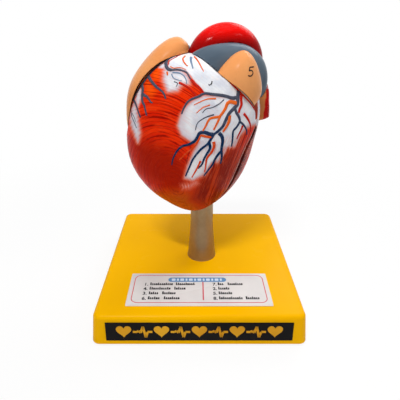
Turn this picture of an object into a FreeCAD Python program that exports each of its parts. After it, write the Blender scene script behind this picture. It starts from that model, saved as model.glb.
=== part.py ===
import FreeCAD, Part
import math
import os

# Two-part human heart teaching model on a column and a moulded base.
# Millimetres, +Z up, origin on the table under the middle of the base; the heart faces -Y.
# The heart is laid out from its seat: the point on the column's axis under its pivot bush.

# ---- base -------------------------------------------------------------------------------------
base_width = 151.0            # across the foot of the moulding
base_depth = 155.5
base_height = 22.6
base_draft = 2.2              # how far each side leans in, foot to top
base_corner_radius = 6.0
base_edge_radius = 3.5
base_wall = 3.0
base_rib = 2.5                # thickness of the two crossed ribs underneath
base_rib_lift = 6.0           # the ribs stop this far above the foot
base_boss_radius = 14.0
base_boss_drop = 8.0
corner_post_radius = 7.5
corner_post_inset = 14.0      # post centre, in from each side of the foot
foot_radius = 6.0
foot_height = 1.5

# ---- labels -----------------------------------------------------------------------------------
card_width = 104.4
card_depth = 37.2
card_thickness = 0.4
card_corner_radius = 1.0
card_margin = 10.4            # from the top's front edge to the card
plate_width = 129.0
plate_height = 14.6
plate_thickness = 0.5
plate_rise = 3.4              # bottom of the name plate above the base's foot

# ---- column and its fixings -------------------------------------------------------------------
column_x = 2.5                # the column stands a little to the right of and behind the middle
column_y = 0.75
column_height = 52.9
column_neck_radius = 9.0
# The flared foot: radius added to the neck's, and the height where it is that wide.
column_flare = [(2.9, 0.0), (2.2, 4.5), (1.5, 12.5), (0.5, 24.0), (0.0, 39.0)]
screw_radius = 3.0
screw_engagement = 16.0
screw_head_radius = 5.5
screw_head_height = 3.2
screw_socket_depth = 2.0
screw_clearance = 0.3
washer_radius = 9.0
washer_thickness = 1.6
washer_room = 2.0             # round the washer, under the boss
pin_radius = 4.0
pin_seat_depth = 20.0         # length pressed into the column
pin_stand = 10.0              # length standing above the column
pin_chamfer = 0.8
seat_washer_radius = 8.5
seat_washer_thickness = 1.5
seat_washer_clearance = 0.3

# ---- pivot bush -------------------------------------------------------------------------------
turning_clearance = 0.05      # radial, pin in bush
bush_wall = 2.5
bush_flange_radius = 8.5
bush_flange_thickness = 2.0
bush_cap = 1.2                # closed top above the pin's tip
bush_end_gap = 0.6
recess_clearance = 0.5        # round the column's neck, where it enters the heart

# ---- ventricles -------------------------------------------------------------------------------
# Level rings: height, left, right, front, back, and how far back the right side is widest.
ventricle_rings = [
    (-7.0, -15.5, 3.0, -11.5, 6.0, 2.0),
    (-3.5, -22.7, 11.8, -17.5, 12.5, 7.0),
    (2.5, -31.8, 21.2, -23.0, 18.5, 11.5),
    (10.5, -40.9, 28.7, -28.5, 23.5, 14.5),
    (21.0, -48.6, 34.4, -33.0, 27.5, 15.0),
    (34.5, -53.9, 37.9, -36.5, 30.0, 12.0),
    (47.5, -54.9, 39.0, -38.8, 31.0, 5.0),
    (60.5, -54.2, 39.5, -39.7, 30.5, -4.0),
    (72.5, -52.5, 39.5, -40.0, 29.5, -6.0),
    (82.5, -49.0, 37.0, -39.0, 27.5, -6.0),
    (92.5, -43.0, 31.0, -36.5, 24.5, -6.0),
    (101.5, -33.5, 21.0, -31.5, 19.5, -6.0),
    (108.5, -21.5, 8.5, -24.0, 11.5, -6.0),
]
ventricle_tip = (-8.5, -4.5, -8.6)
ventricle_top = (-6.5, -6.5, 112.0)

# ---- front cover: its upper edge in the front view, and the split behind it -------------------
cover_edge = [
    (-56.0, 50.0), (-51.2, 64.0), (-48.3, 74.5), (-43.6, 86.5), (-34.8, 97.6), (-24.0, 104.8),
    (-13.0, 107.6), (-7.0, 107.6), (-0.5, 104.9), (9.4, 97.1), (21.8, 88.7), (32.6, 77.1),
    (35.2, 65.8),
]
cover_middle = (-7.0, 0.0, 45.0)
cover_gap = 0.45              # all round between the cover and the rest of the heart
cover_reach = 100.0           # past the heart on every side
cover_edge_drop = 10.0        # the outline runs down this much past the heart's right side
split_y = -11.0               # where the split crosses the pivot's axis
split_turn = 11.0             # degrees, right side forward
roof_z = 98.0                 # the rear wall is cut off flat here, under the vessels
seam_width = 3.2              # groove along the split, on the heart's lower right
seam_depth = 2.5
seam_left_end = 8.0

# ---- chambers: centre, half sizes, lean in degrees ---------------------------------------------
left_chamber = ((13.5, -2.5, 45.0), (12.5, 19.0, 30.0), 14.0)
right_chamber = ((-29.5, -8.5, 49.5), (18.5, 22.0, 38.0), 0.0)
# Outflow passages: lower end, upper end, radius.
right_outflow = ((-24.5, -12.5, 69.5), (-4.0, -16.0, 95.0), 9.0)
left_outflow = ((13.0, 0.0, 58.0), (3.5, 3.0, 75.0), 6.5)

# ---- valves: ring centre, lean to the right, bore radius and, where it has one, turn about Z ----
tricuspid = ((-30.0, 7.0, 73.0), -8.0, 8.0)
mitral = ((18.5, 2.0, 64.5), 14.0, 7.5)
aortic = ((2.4, 3.2, 77.0), -29.0, 6.0)
pulmonary = ((14.0, -9.7, 101.1), 90.0, 6.4, 27.0)
leaflet_hang = 11.0
leaflet_thickness = 0.9
leaflet_narrowing = 0.45      # share of the bore lost at the leaflets' free edge
leaflet_notch = 0.36          # radius of the notch between leaflets, as a share of the bore's
cusp_size = 0.56              # radius of a pocket cusp, as a share of the bore's
cusp_offset = 0.5             # its centre from the valve's axis, in bore radii
valve_ring_width = 1.6
valve_ring_height = 2.6
valve_fit = 0.12              # glue gap round a valve's ring
port_depth = 8.0              # recess above a valve's ring
port_lead = 12.0              # recess below it, down into the chamber

# ---- papillary muscles: foot, tip, foot radius, tip radius ------------------------------------
papillary_muscles = {
    "papillary_right_outer": ((-41.5, 9.0, 23.0), (-35.0, 5.0, 50.0), 4.6, 1.8),
    "papillary_right_inner": ((-19.5, 13.0, 24.0), (-25.0, 6.0, 50.0), 4.4, 1.7),
    "papillary_left_inner": ((4.0, 15.0, 22.0), (13.0, 4.0, 45.0), 4.8, 2.0),
    "papillary_left_outer": ((22.5, 13.0, 28.0), (22.0, 4.5, 45.5), 4.4, 1.8),
}
chorda_radius = 0.45
chordae_per_muscle = 3
chorda_fan = 48.0             # degrees between neighbouring cords at a valve
chorda_entry = 2.0            # how far above the leaflets' free edge they end

# ---- cover pegs -------------------------------------------------------------------------------
peg_places = [(-15.0, 4.0), (8.0, 10.0), (-1.0, 69.5)]
peg_radius = 1.8
peg_stand = 6.0               # past the cover's rim
peg_root = 5.0                # glued into the cover
sleeve_wall = 1.0
sleeve_floor = 1.0
peg_clearance = 0.08
peg_end_gap = 0.5

# ---- atria and great vessels: x, y, z, radius in the front view, radius front to back ---------
right_atrium_line = [
    (-50.0, -6.0, 57.0, 3.0, 8.0), (-47.5, -6.5, 70.0, 5.6, 14.0), (-41.9, -7.5, 83.5, 8.4, 17.5),
    (-33.0, -8.0, 95.0, 9.4, 17.5), (-24.0, -8.0, 103.8, 9.4, 15.5), (-18.6, -8.0, 108.4, 8.6, 13.0),
]
# The aorta climbs from its root, turns over in an arch and runs down behind.
aorta_radius = 11.3
aorta_root = (0.3, 0.0, 87.0, aorta_radius, aorta_radius)
aorta_arch_centre = (15.5, 98.2)    # x and z
aorta_arch_radius = 15.9
aorta_arch_start_y = 0.5
aorta_arch_end_y = 16.0
aorta_arch_stations = 7
aorta_arch_drift = 1.6        # above 1, the arch moves back late in its turn
aorta_tail = [
    (30.5, 20.3, 93.7, 10.8, 10.8), (29.6, 24.5, 89.0, 10.3, 10.3), (28.6, 28.5, 84.0, 9.7, 9.7),
    (27.6, 32.0, 78.5, 9.2, 9.2), (26.6, 34.4, 72.4, 8.9, 8.9), (25.6, 36.5, 66.0, 8.6, 8.6),
]
trunk_line = [
    (-9.0, -18.0, 90.5, 11.0, 10.5), (-1.8, -16.0, 97.2, 11.6, 10.5), (6.8, -13.0, 100.6, 12.0, 11.0),
    (16.0, -8.5, 101.2, 12.2, 11.5), (25.0, -3.0, 99.4, 12.8, 12.0), (31.3, 2.5, 94.0, 12.6, 12.0),
    (33.8, 6.0, 86.0, 12.0, 11.5), (34.0, 8.0, 80.0, 11.5, 11.0),
]
trunk_wall = 2.6
# Level rings of the left auricle, as for the ventricles.
auricle_rings = [
    (72.0, 20.0, 31.0, -26.5, -12.0, -17.0), (76.0, 14.0, 34.8, -29.0, -9.5, -16.0),
    (80.5, 9.0, 37.8, -30.8, -8.0, -15.0), (86.5, 6.4, 38.6, -32.5, -8.0, -15.0),
    (94.0, 6.8, 37.0, -33.0, -8.5, -16.0), (101.0, 11.4, 34.2, -31.0, -9.5, -17.0),
    (106.5, 17.6, 30.6, -27.0, -12.0, -18.0),
]
auricle_foot = (26.0, -19.0, 68.5)
auricle_top = (25.0, -19.5, 109.8)
left_atrium_line = [
    (-21.5, 21.5, 77.5, 12.0, 9.5), (-8.5, 25.0, 78.0, 14.0, 11.5), (7.5, 25.0, 77.0, 15.0, 12.5),
    (21.5, 20.5, 75.0, 15.2, 12.5), (31.0, 14.0, 73.0, 15.0, 11.0), (39.0, 10.0, 72.4, 14.4, 9.8),
    (44.0, 8.2, 72.8, 13.4, 8.9), (47.7, 7.2, 73.3, 11.8, 7.8),
]
left_veins_line = [
    (38.0, 10.0, 72.4, 8.6, 5.0), (44.0, 8.0, 72.8, 8.6, 5.0), (48.2, 7.0, 73.2, 8.6, 5.0),
]
left_vein_spacing = 8.8
left_vein_bore = 3.0
superior_cava_line = [
    (-19.0, 8.0, 92.0, 8.5, 8.5), (-18.0, 9.5, 102.0, 8.2, 8.2), (-17.0, 11.0, 111.0, 8.0, 8.0),
]
inferior_cava_line = [
    (-29.5, 17.0, 70.0, 9.5, 9.5), (-31.0, 22.0, 56.0, 9.2, 9.2), (-31.5, 25.5, 42.0, 9.0, 9.0),
]
right_artery_line = [
    (16.0, 17.0, 94.0, 7.0, 7.0), (2.0, 19.0, 96.5, 6.8, 6.8), (-14.0, 21.5, 95.0, 6.5, 6.5),
    (-30.0, 25.5, 92.5, 6.3, 6.3), (-38.0, 28.0, 91.5, 6.3, 6.3),
]
right_upper_vein_line = [
    (-16.0, 25.5, 80.0, 5.6, 5.6), (-28.0, 30.0, 81.5, 5.4, 5.4), (-36.0, 32.5, 82.0, 5.4, 5.4),
]
right_lower_vein_line = [
    (-14.0, 26.0, 68.0, 5.6, 5.6), (-20.0, 31.5, 64.5, 5.4, 5.4), (-25.0, 36.5, 62.0, 5.4, 5.4),
]
vessel_wall = 2.0
stub_bore_depth = 7.0
lobe_end_reach = 0.6          # where a lobe's end starts to close, in radii past its last station
lobe_end_size = 0.78          # its size there, as a share of the last station's

up = FreeCAD.Vector(0, 0, 1)
back = FreeCAD.Vector(0, 1, 0)
across = FreeCAD.Vector(1, 0, 0)

# ---- heights and axes that follow -------------------------------------------------------------
base_top_z = foot_height + base_height
column_top_z = base_top_z + column_height
boss_face_z = base_top_z - base_wall - base_boss_drop
column_axis = FreeCAD.Vector(column_x, column_y, 0)
heart_seat = column_axis + up * (column_top_z + seat_washer_thickness)
bush_bore_depth = pin_stand - seat_washer_thickness + bush_end_gap
sleeve_radius = peg_radius + peg_clearance + sleeve_wall
sleeve_bore_depth = peg_stand - cover_gap + peg_end_gap
sleeve_depth = sleeve_bore_depth + sleeve_floor


# ---- shapes used by several pieces ------------------------------------------------------------
def vec(point):
    return FreeCAD.Vector(*point)


def closed_curve(points, edges=4):
    """A smooth loop through points, in a few edges that meet on its diagonals."""
    curve = Part.BSplineCurve()
    curve.interpolate(points, PeriodicFlag=True)
    places = [len(points) * (2 * i + 1) // (2 * edges) for i in range(edges)]
    joints = [curve.parameter(points[place]) for place in places]
    joints.append(joints[0] + curve.LastParameter - curve.FirstParameter)
    return Part.Wire([curve.toShape(a, b) for a, b in zip(joints, joints[1:])])


def oval(centre, side, depth, side_radius, depth_radius, points=12):
    """A closed smooth oval about centre, in the plane of the unit vectors side and depth."""
    steps = [2 * math.pi * i / points for i in range(points)]
    return closed_curve([
        centre + side * (side_radius * math.cos(t)) + depth * (depth_radius * math.sin(t))
        for t in steps
    ])


def level_ring(z, left, right, front, rear, right_y, points=16):
    """A level oval between four extremes, whose right side is widest at right_y."""
    middle_x = (left + right) / 2
    middle_y = (front + rear) / 2
    found = []
    for i in range(points):
        t = 2 * math.pi * i / points
        lean = (right_y - middle_y) * max(math.cos(t), 0.0) ** 2
        found.append(FreeCAD.Vector(
            middle_x + (right - left) / 2 * math.cos(t),
            middle_y + (rear - front) / 2 * math.sin(t) + lean, z))
    return closed_curve(found)


def egg(foot_point, rings, top_point):
    """A closed form through level rings, from one point to another."""
    middle = [level_ring(*ring) for ring in rings]
    return loft([Part.Vertex(vec(foot_point))] + middle + [Part.Vertex(vec(top_point))])


def loft(profiles):
    return Part.makeLoft(profiles, True, False)


def frames_along(line):
    """Each station's centre, its two radial directions and the tangent."""
    centres = [vec(station[:3]) for station in line]
    found = []
    for i, centre in enumerate(centres):
        ahead = centres[min(i + 1, len(centres) - 1)]
        behind = centres[max(i - 1, 0)]
        tangent = (ahead - behind).normalize()
        depth = (back - tangent * back.dot(tangent)).normalize()
        found.append((centre, depth.cross(tangent), depth, tangent))
    return found


def rings_along(line, shrink=0.0):
    return [
        oval(centre, side, depth, station[3] - shrink, station[4] - shrink)
        for station, (centre, side, depth, _) in zip(line, frames_along(line))
    ]


def tube(line, shrink=0.0):
    """A vessel with flat ends that follows a line of stations."""
    return loft(rings_along(line, shrink))


def nose(station, frame, sign):
    """The rounded end of a lobe: a smaller oval and the point beyond it."""
    centre, side, depth, tangent = frame
    reach = min(station[3], station[4]) * sign
    shoulder = oval(centre + tangent * (reach * lobe_end_reach), side, depth,
                    station[3] * lobe_end_size, station[4] * lobe_end_size)
    return [shoulder, Part.Vertex(centre + tangent * reach)]


def lobe(line, flat_end=False):
    """A soft closed form along a line of stations, rounded off beyond its ends."""
    frames = frames_along(line)
    first = nose(line[0], frames[0], -1)
    last = [] if flat_end else nose(line[-1], frames[-1], 1)
    return loft(first[::-1] + rings_along(line) + last)


def cylinder(start, end, radius):
    return Part.makeCylinder(radius, (end - start).Length, start, end - start)


def capsule(start_point, end_point, radius):
    start, end = vec(start_point), vec(end_point)
    ends = [Part.makeSphere(radius, start), Part.makeSphere(radius, end)]
    return cylinder(start, end, radius).multiFuse(ends).removeSplitter()


def lean_and_place(body, centre, lean, turn=0.0):
    """Lean a body to the right about its own origin, turn it, then move it to centre."""
    body.rotate(FreeCAD.Vector(), back, lean)
    body.rotate(FreeCAD.Vector(), up, turn)
    body.translate(vec(centre))
    return body


def ellipsoid(centre, half_sizes, lean, levels=7):
    """A leaning closed form with level oval rings."""
    wide, deep, high = half_sizes
    rings = []
    for i in range(levels):
        t = math.pi * (i + 1) / (levels + 1)
        share = math.sin(t)
        rings.append((-high * math.cos(t), -wide * share, wide * share, -deep * share, deep * share, 0.0))
    return lean_and_place(egg((0.0, 0.0, -high), rings, (0.0, 0.0, high)), centre, lean)


def rounded_block(width, depth, height, corner_radius):
    block = Part.makeBox(width, depth, height, FreeCAD.Vector(-width / 2, -depth / 2, 0))
    uprights = [e for e in block.Edges if abs(e.tangentAt(e.FirstParameter).z) > 0.9]
    return block.makeFillet(corner_radius, uprights)


def largest(body):
    return max(body.Solids, key=lambda solid: solid.Volume)


def seated(body, *carriers):
    """What is left of a body outside the pieces that carry it."""
    for carrier in carriers:
        body = body.cut(carrier)
    return largest(body)


# ---- stand ------------------------------------------------------------------------------------
def drafted_block(inset, bottom, top):
    """The base's outside, or its inside at an even wall, between two heights above its foot."""
    loops = []
    for z in (bottom, top):
        lean = base_draft * z / base_height
        slab = rounded_block(base_width - 2 * (lean + inset), base_depth - 2 * (lean + inset),
                             base_wall, max(base_corner_radius - inset, 1.0))
        loop = min(slab.Faces, key=lambda face: face.CenterOfMass.z).OuterWire
        loop.translate(up * z)
        loops.append(loop)
    return Part.makeLoft(loops, True, True)


def corner_places():
    x = base_width / 2 - corner_post_inset
    y = base_depth / 2 - corner_post_inset
    return {
        "foot_front_left": (-x, -y), "foot_front_right": (x, -y),
        "foot_rear_left": (-x, y), "foot_rear_right": (x, y),
    }


def base_plinth():
    outside = drafted_block(0.0, 0.0, base_height)
    top_edges = [e for e in outside.Edges if min(v.Z for v in e.Vertexes) > base_height - 0.01]
    ceiling = base_height - base_wall
    shell = outside.makeFillet(base_edge_radius, top_edges).cut(drafted_block(base_wall, -1.0, ceiling))
    rib_height = ceiling - base_rib_lift
    stiffeners = [
        Part.makeBox(base_width, base_rib, rib_height,
                     FreeCAD.Vector(-base_width / 2, column_y - base_rib / 2, base_rib_lift)),
        Part.makeBox(base_rib, base_depth, rib_height,
                     FreeCAD.Vector(column_x - base_rib / 2, -base_depth / 2, base_rib_lift)),
    ]
    stiffeners += [
        Part.makeCylinder(corner_post_radius, ceiling, FreeCAD.Vector(x, y, 0))
        for x, y in corner_places().values()
    ]
    boss_face = ceiling - base_boss_drop
    boss = Part.makeCylinder(base_boss_radius, base_boss_drop, column_axis + up * boss_face)
    room = Part.makeCylinder(washer_radius + washer_room, boss_face, column_axis)
    inner = boss.multiFuse(stiffeners).cut(room).common(
        drafted_block(base_wall / 2, 0.0, base_height - base_wall / 2))
    body = shell.fuse(inner).removeSplitter()
    body = body.cut(Part.makeCylinder(screw_radius + screw_clearance, base_height, column_axis))
    body.translate(up * foot_height)
    return body


def key_card():
    card = rounded_block(card_width, card_depth, card_thickness, card_corner_radius)
    top_front = -base_depth / 2 + base_draft
    card.translate(FreeCAD.Vector(0, top_front + card_margin + card_depth / 2, base_top_z))
    return card


def name_plate():
    """A strip that lies flat on the leaning front of the base."""
    plate = Part.makeBox(plate_width, plate_thickness, plate_height,
                         FreeCAD.Vector(-plate_width / 2, -plate_thickness, plate_rise))
    plate.rotate(FreeCAD.Vector(), across, -math.degrees(math.atan2(base_draft, base_height)))
    plate.translate(FreeCAD.Vector(0, -base_depth / 2, foot_height))
    return plate


def support_column():
    curve = Part.BSplineCurve()
    curve.interpolate([
        FreeCAD.Vector(column_neck_radius + extra, 0, height) for extra, height in column_flare])
    corners = [
        FreeCAD.Vector(column_neck_radius, 0, column_flare[-1][1]),
        FreeCAD.Vector(column_neck_radius, 0, column_height),
        FreeCAD.Vector(0, 0, column_height),
        FreeCAD.Vector(0, 0, 0),
        FreeCAD.Vector(column_neck_radius + column_flare[0][0], 0, 0),
    ]
    sides = [Part.makeLine(a, b) for a, b in zip(corners, corners[1:])]
    body = Part.Face(Part.Wire([curve.toShape()] + sides)).revolve(FreeCAD.Vector(), up, 360)
    body = body.cut(Part.makeCylinder(screw_radius, screw_engagement + screw_clearance))
    body = body.cut(Part.makeCylinder(pin_radius, pin_seat_depth, up * (column_height - pin_seat_depth)))
    body.translate(column_axis + up * base_top_z)
    return body


def column_screw():
    head_z = boss_face_z - washer_thickness - screw_head_height
    body = Part.makeCylinder(screw_radius, base_top_z + screw_engagement - head_z).fuse(
        Part.makeCylinder(screw_head_radius, screw_head_height)).removeSplitter()
    body = body.cut(Part.makeBox(screw_radius, screw_radius, screw_socket_depth,
                                 FreeCAD.Vector(-screw_radius / 2, -screw_radius / 2, 0)))
    body.translate(column_axis + up * head_z)
    return body


def ring_at(z, height, outer_radius, inner_radius):
    foot_centre = column_axis + up * z
    return Part.makeCylinder(outer_radius, height, foot_centre).cut(
        Part.makeCylinder(inner_radius, height, foot_centre))


def swivel_pin():
    length = pin_seat_depth + pin_stand
    body = Part.makeCylinder(pin_radius, length)
    tip = [e for e in body.Edges if min(v.Z for v in e.Vertexes) > length - 0.01]
    body = body.makeChamfer(pin_chamfer, tip)
    body.translate(column_axis + up * (column_top_z - pin_seat_depth))
    return body


def build_stand():
    pieces = {
        "base_plinth": base_plinth(),
        "key_card": key_card(),
        "name_plate": name_plate(),
        "support_column": support_column(),
        "column_screw": column_screw(),
        "column_washer": ring_at(boss_face_z - washer_thickness, washer_thickness,
                                 washer_radius, screw_radius + screw_clearance),
        "swivel_pin": swivel_pin(),
        "seat_washer": ring_at(column_top_z, seat_washer_thickness,
                               seat_washer_radius, pin_radius + seat_washer_clearance),
    }
    for name, (x, y) in corner_places().items():
        pieces[name] = Part.makeCylinder(foot_radius, foot_height, FreeCAD.Vector(x, y, 0))
    return pieces


# ---- heart: walls, pegs and pivot -------------------------------------------------------------
def pivot_bush():
    body = Part.makeCylinder(bush_flange_radius, bush_flange_thickness).fuse(
        Part.makeCylinder(pin_radius + bush_wall, bush_bore_depth + bush_cap)).removeSplitter()
    return body.cut(Part.makeCylinder(pin_radius + turning_clearance, bush_bore_depth))


def column_recess():
    """The space in the heart for the column's top, its washer and the bush."""
    below = 2 * column_neck_radius
    mouth = Part.makeCylinder(column_neck_radius + recess_clearance,
                              below + bush_flange_thickness, up * -below)
    return mouth.fuse(Part.makeCylinder(pin_radius + bush_wall, bush_bore_depth + bush_cap))


def ahead_of_split(gap, depth):
    """A slab in front of the split, whose back face lies gap ahead of it."""
    side = 3 * cover_reach
    slab = Part.makeBox(side, depth, side, FreeCAD.Vector(-side / 2, -depth - gap, -side / 2))
    slab.rotate(FreeCAD.Vector(), up, -split_turn)
    slab.translate(back * split_y)
    return slab


def above_roof():
    side = 3 * cover_reach
    return Part.makeBox(side, side, cover_reach, FreeCAD.Vector(-side / 2, -side / 2, roof_z))


def cover_space(gap):
    """All that lies ahead of the split and inside the cover's outline, drawn in by gap."""
    middle = vec(cover_middle)
    edge = []
    for x, z in cover_edge:
        point = FreeCAD.Vector(x, 0, z)
        edge.append(point + (middle - point).normalize() * gap)
    curve = Part.BSplineCurve()
    curve.interpolate(edge)
    corners = [
        edge[-1],
        FreeCAD.Vector(cover_reach, 0, edge[-1].z - cover_edge_drop),
        FreeCAD.Vector(cover_reach, 0, -cover_reach),
        FreeCAD.Vector(-cover_reach, 0, -cover_reach),
        FreeCAD.Vector(-cover_reach, 0, edge[0].z),
        edge[0],
    ]
    sides = [Part.makeLine(a, b) for a, b in zip(corners, corners[1:])]
    prism = Part.Face(Part.Wire([curve.toShape()] + sides)).extrude(back * (2 * cover_reach))
    prism.translate(back * -cover_reach)
    return prism.common(ahead_of_split(gap, 2 * cover_reach))


def trunk_bore():
    return tube(trunk_line[:-1], trunk_wall)


def chambers():
    """Both chambers and the passages that lead out of them."""
    return [
        ellipsoid(*left_chamber), ellipsoid(*right_chamber),
        capsule(*left_outflow), capsule(*right_outflow), trunk_bore(),
    ]


def valve_port(centre, lean, bore):
    """The recess that takes a valve's ring, open to the chamber below it."""
    seat = bore + valve_ring_width + valve_fit
    body = Part.makeCylinder(seat, port_lead + valve_ring_height, up * -port_lead)
    body = body.fuse(Part.makeCylinder(bore, port_depth)).removeSplitter()
    return lean_and_place(body, centre, lean)


def seam_groove(outside):
    """The groove along the split, on the heart's lower right."""
    keep = Part.makeBox(cover_reach, 2 * cover_reach, cover_edge[-1][1] + cover_reach,
                        FreeCAD.Vector(seam_left_end, -cover_reach, -cover_reach))
    box = outside.BoundBox
    middle = box.Center
    shrink = FreeCAD.Matrix()
    shrink.move(middle * -1)
    shrink.scale(1 - 2 * seam_depth / box.XLength, 1.0, 1 - 2 * seam_depth / box.ZLength)
    shrink.move(middle)
    return ahead_of_split(-seam_width, seam_width).common(keep).cut(outside.transformGeometry(shrink))


def peg_run(place, start, end, radius):
    """A cylinder along Y, between two distances behind the split."""
    x, z = place
    y = split_y - x * math.tan(math.radians(split_turn))
    return cylinder(FreeCAD.Vector(x, y + start, z), FreeCAD.Vector(x, y + end, z), radius)


def peg_sleeves():
    """Blind sleeves whose mouths are wholly inside the slanting face of the split."""
    sink = sleeve_radius * math.tan(math.radians(split_turn))
    return Part.makeCompound([
        peg_run(place, sink, sleeve_depth, sleeve_radius).cut(
            peg_run(place, 0, sleeve_bore_depth, peg_radius + peg_clearance))
        for place in peg_places
    ])


def cover_pegs():
    return Part.makeCompound([
        peg_run(place, -cover_gap - peg_root, peg_stand - cover_gap, peg_radius) for place in peg_places])


def rear_wall(behind, outside):
    cuts = chambers() + [valve_port(*valve) for valve in (tricuspid, mitral, aortic)]
    cuts += [peg_run(place, -sleeve_radius, sleeve_depth, sleeve_radius) for place in peg_places]
    return seated(behind, seam_groove(outside), column_recess(), *cuts)


def front_wall(outside):
    pegs = [peg_run(place, -cover_gap - peg_root, peg_stand, peg_radius) for place in peg_places]
    return seated(outside.common(cover_space(cover_gap)), column_recess(), *chambers(), *pegs)


# ---- heart: valves and what holds them --------------------------------------------------------
def valve_ring(bore):
    return Part.makeCylinder(bore + valve_ring_width, valve_ring_height).cut(
        Part.makeCylinder(bore, valve_ring_height))


def hanging_valve(centre, lean, bore, leaves):
    """A ring with a skirt of thin leaflets that hangs into the chamber."""
    tip = bore * (1 - leaflet_narrowing)
    skirt = Part.makeCone(tip + leaflet_thickness, bore + leaflet_thickness, leaflet_hang,
                          up * -leaflet_hang)
    body = skirt.cut(Part.makeCone(tip, bore, leaflet_hang, up * -leaflet_hang)).fuse(valve_ring(bore))
    for i in range(leaves):
        notch = Part.makeCylinder(bore * leaflet_notch, 3 * bore, up * -leaflet_hang, across)
        notch.rotate(FreeCAD.Vector(), up, 90.0 + 360.0 * i / leaves)
        body = body.cut(notch)
    return lean_and_place(body, centre, lean)


def pocket_valve(centre, lean, bore, turn=0.0):
    """A ring with three pocket cusps that open away from the chamber."""
    body = valve_ring(bore)
    radius = bore * cusp_size
    inside_ring = Part.makeCylinder(bore + valve_ring_width / 2, 4 * bore, up * (-2 * bore))
    below_rim = Part.makeCylinder(2 * bore, valve_ring_height + radius, up * -radius)
    for i in range(3):
        angle = math.radians(90.0 + 120.0 * i)
        middle = FreeCAD.Vector(math.cos(angle), math.sin(angle), 0) * (bore * cusp_offset)
        middle.z = valve_ring_height
        pocket = Part.makeSphere(radius, middle).cut(Part.makeSphere(radius - leaflet_thickness, middle))
        body = body.fuse(pocket.common(inside_ring).common(below_rim))
    return lean_and_place(body, centre, lean, turn)


def papillary_muscle(foot_point, tip_point, foot_size, tip_size):
    """A blunt cone that stands out of a chamber's wall."""
    start, end = vec(foot_point), vec(tip_point)
    cone = Part.makeCone(foot_size, tip_size, (end - start).Length, start, end - start)
    return cone.fuse(Part.makeSphere(tip_size, end)).removeSplitter()


def chordae(valve, muscles):
    """Cords from the muscles' tips to the nearest leaflets of a valve."""
    centre, lean, bore = valve
    share = (leaflet_hang - chorda_entry) / leaflet_hang
    radius = bore * (1 - leaflet_narrowing * share) + leaflet_thickness / 2
    turn = FreeCAD.Rotation(back, lean)
    found = []
    for muscle in muscles:
        tip = vec(papillary_muscles[muscle][1])
        towards = turn.inverted().multVec(tip - vec(centre))
        heading = math.degrees(math.atan2(towards.y, towards.x))
        for i in range(chordae_per_muscle):
            angle = math.radians(heading + chorda_fan * (i - (chordae_per_muscle - 1) / 2))
            end = FreeCAD.Vector(radius * math.cos(angle), radius * math.sin(angle), -leaflet_hang * share)
            found.append(cylinder(tip, vec(centre) + turn.multVec(end), chorda_radius))
    return found


# ---- heart: great vessels ---------------------------------------------------------------------
def aorta_line():
    arch = []
    for i in range(aorta_arch_stations):
        share = i / (aorta_arch_stations - 1)
        angle = math.pi * (1 - share)
        arch.append((
            aorta_arch_centre[0] + aorta_arch_radius * math.cos(angle),
            aorta_arch_start_y + (aorta_arch_end_y - aorta_arch_start_y) * share ** aorta_arch_drift,
            aorta_arch_centre[1] + aorta_arch_radius * math.sin(angle), aorta_radius, aorta_radius))
    return [aorta_root] + arch + aorta_tail


def end_bore(line, side_step, radius):
    """A short blind bore in the far end of a vessel, side_step off its centre."""
    centre, side, _, tangent = frames_along(line)[-1]
    mouth = centre + side * side_step
    return cylinder(mouth - tangent * stub_bore_depth, mouth + tangent, radius)


def stub(line):
    """A vessel with a blind bore in its far end."""
    return tube(line).cut(end_bore(line, 0.0, line[-1][3] - vessel_wall))


def pulmonary_trunk():
    return tube(trunk_line).cut(trunk_bore())


def left_veins():
    """Two veins side by side, as one moulding with two mouths."""
    body = tube(left_veins_line)
    for sign in (-1, 1):
        body = body.cut(end_bore(left_veins_line, sign * left_vein_spacing / 2, left_vein_bore))
    return body


def build_heart():
    """Every piece of the heart, in the frame of its seat."""
    outside = egg(ventricle_tip, ventricle_rings, ventricle_top)
    behind = outside.cut(ahead_of_split(0.0, 2 * cover_reach)).cut(above_roof())
    pieces = {
        "pivot_bush": pivot_bush(),
        "rear_wall": rear_wall(behind, outside),
        "front_wall": front_wall(outside),
        "peg_sleeves": peg_sleeves(),
        "cover_pegs": cover_pegs(),
    }
    taken = [cover_space(0.0), behind]
    outer_shapes = {
        "right_atrium": lobe(right_atrium_line),
        "pulmonary_trunk": pulmonary_trunk(),
        "aorta": stub(aorta_line()),
        "left_auricle": egg(auricle_foot, auricle_rings, auricle_top),
        "left_pulmonary_veins": left_veins(),
        "left_atrium": lobe(left_atrium_line, flat_end=True),
        "superior_vena_cava": stub(superior_cava_line),
        "inferior_vena_cava": stub(inferior_cava_line),
        "right_pulmonary_artery": stub(right_artery_line),
        "right_upper_vein": stub(right_upper_vein_line),
        "right_lower_vein": stub(right_lower_vein_line),
    }
    for name, body in outer_shapes.items():
        pieces[name] = seated(body, *taken)
        taken.append(tube(trunk_line) if name == "pulmonary_trunk" else pieces[name])

    pieces["tricuspid_valve"] = hanging_valve(*tricuspid, 3)
    pieces["mitral_valve"] = hanging_valve(*mitral, 2)
    pieces["aortic_valve"] = pocket_valve(*aortic)
    pieces["pulmonary_valve"] = pocket_valve(*pulmonary)
    for name, sizes in papillary_muscles.items():
        pieces[name] = seated(papillary_muscle(*sizes), pieces["rear_wall"])
    for name, valve, valve_name, side in [
        ("chordae_right", tricuspid, "tricuspid_valve", "papillary_right"),
        ("chordae_left", mitral, "mitral_valve", "papillary_left"),
    ]:
        muscles = [muscle for muscle in papillary_muscles if muscle.startswith(side)]
        ends = [pieces[valve_name]] + [pieces[muscle] for muscle in muscles]
        pieces[name] = Part.makeCompound([seated(cord, *ends) for cord in chordae(valve, muscles)])
    return pieces


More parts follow.
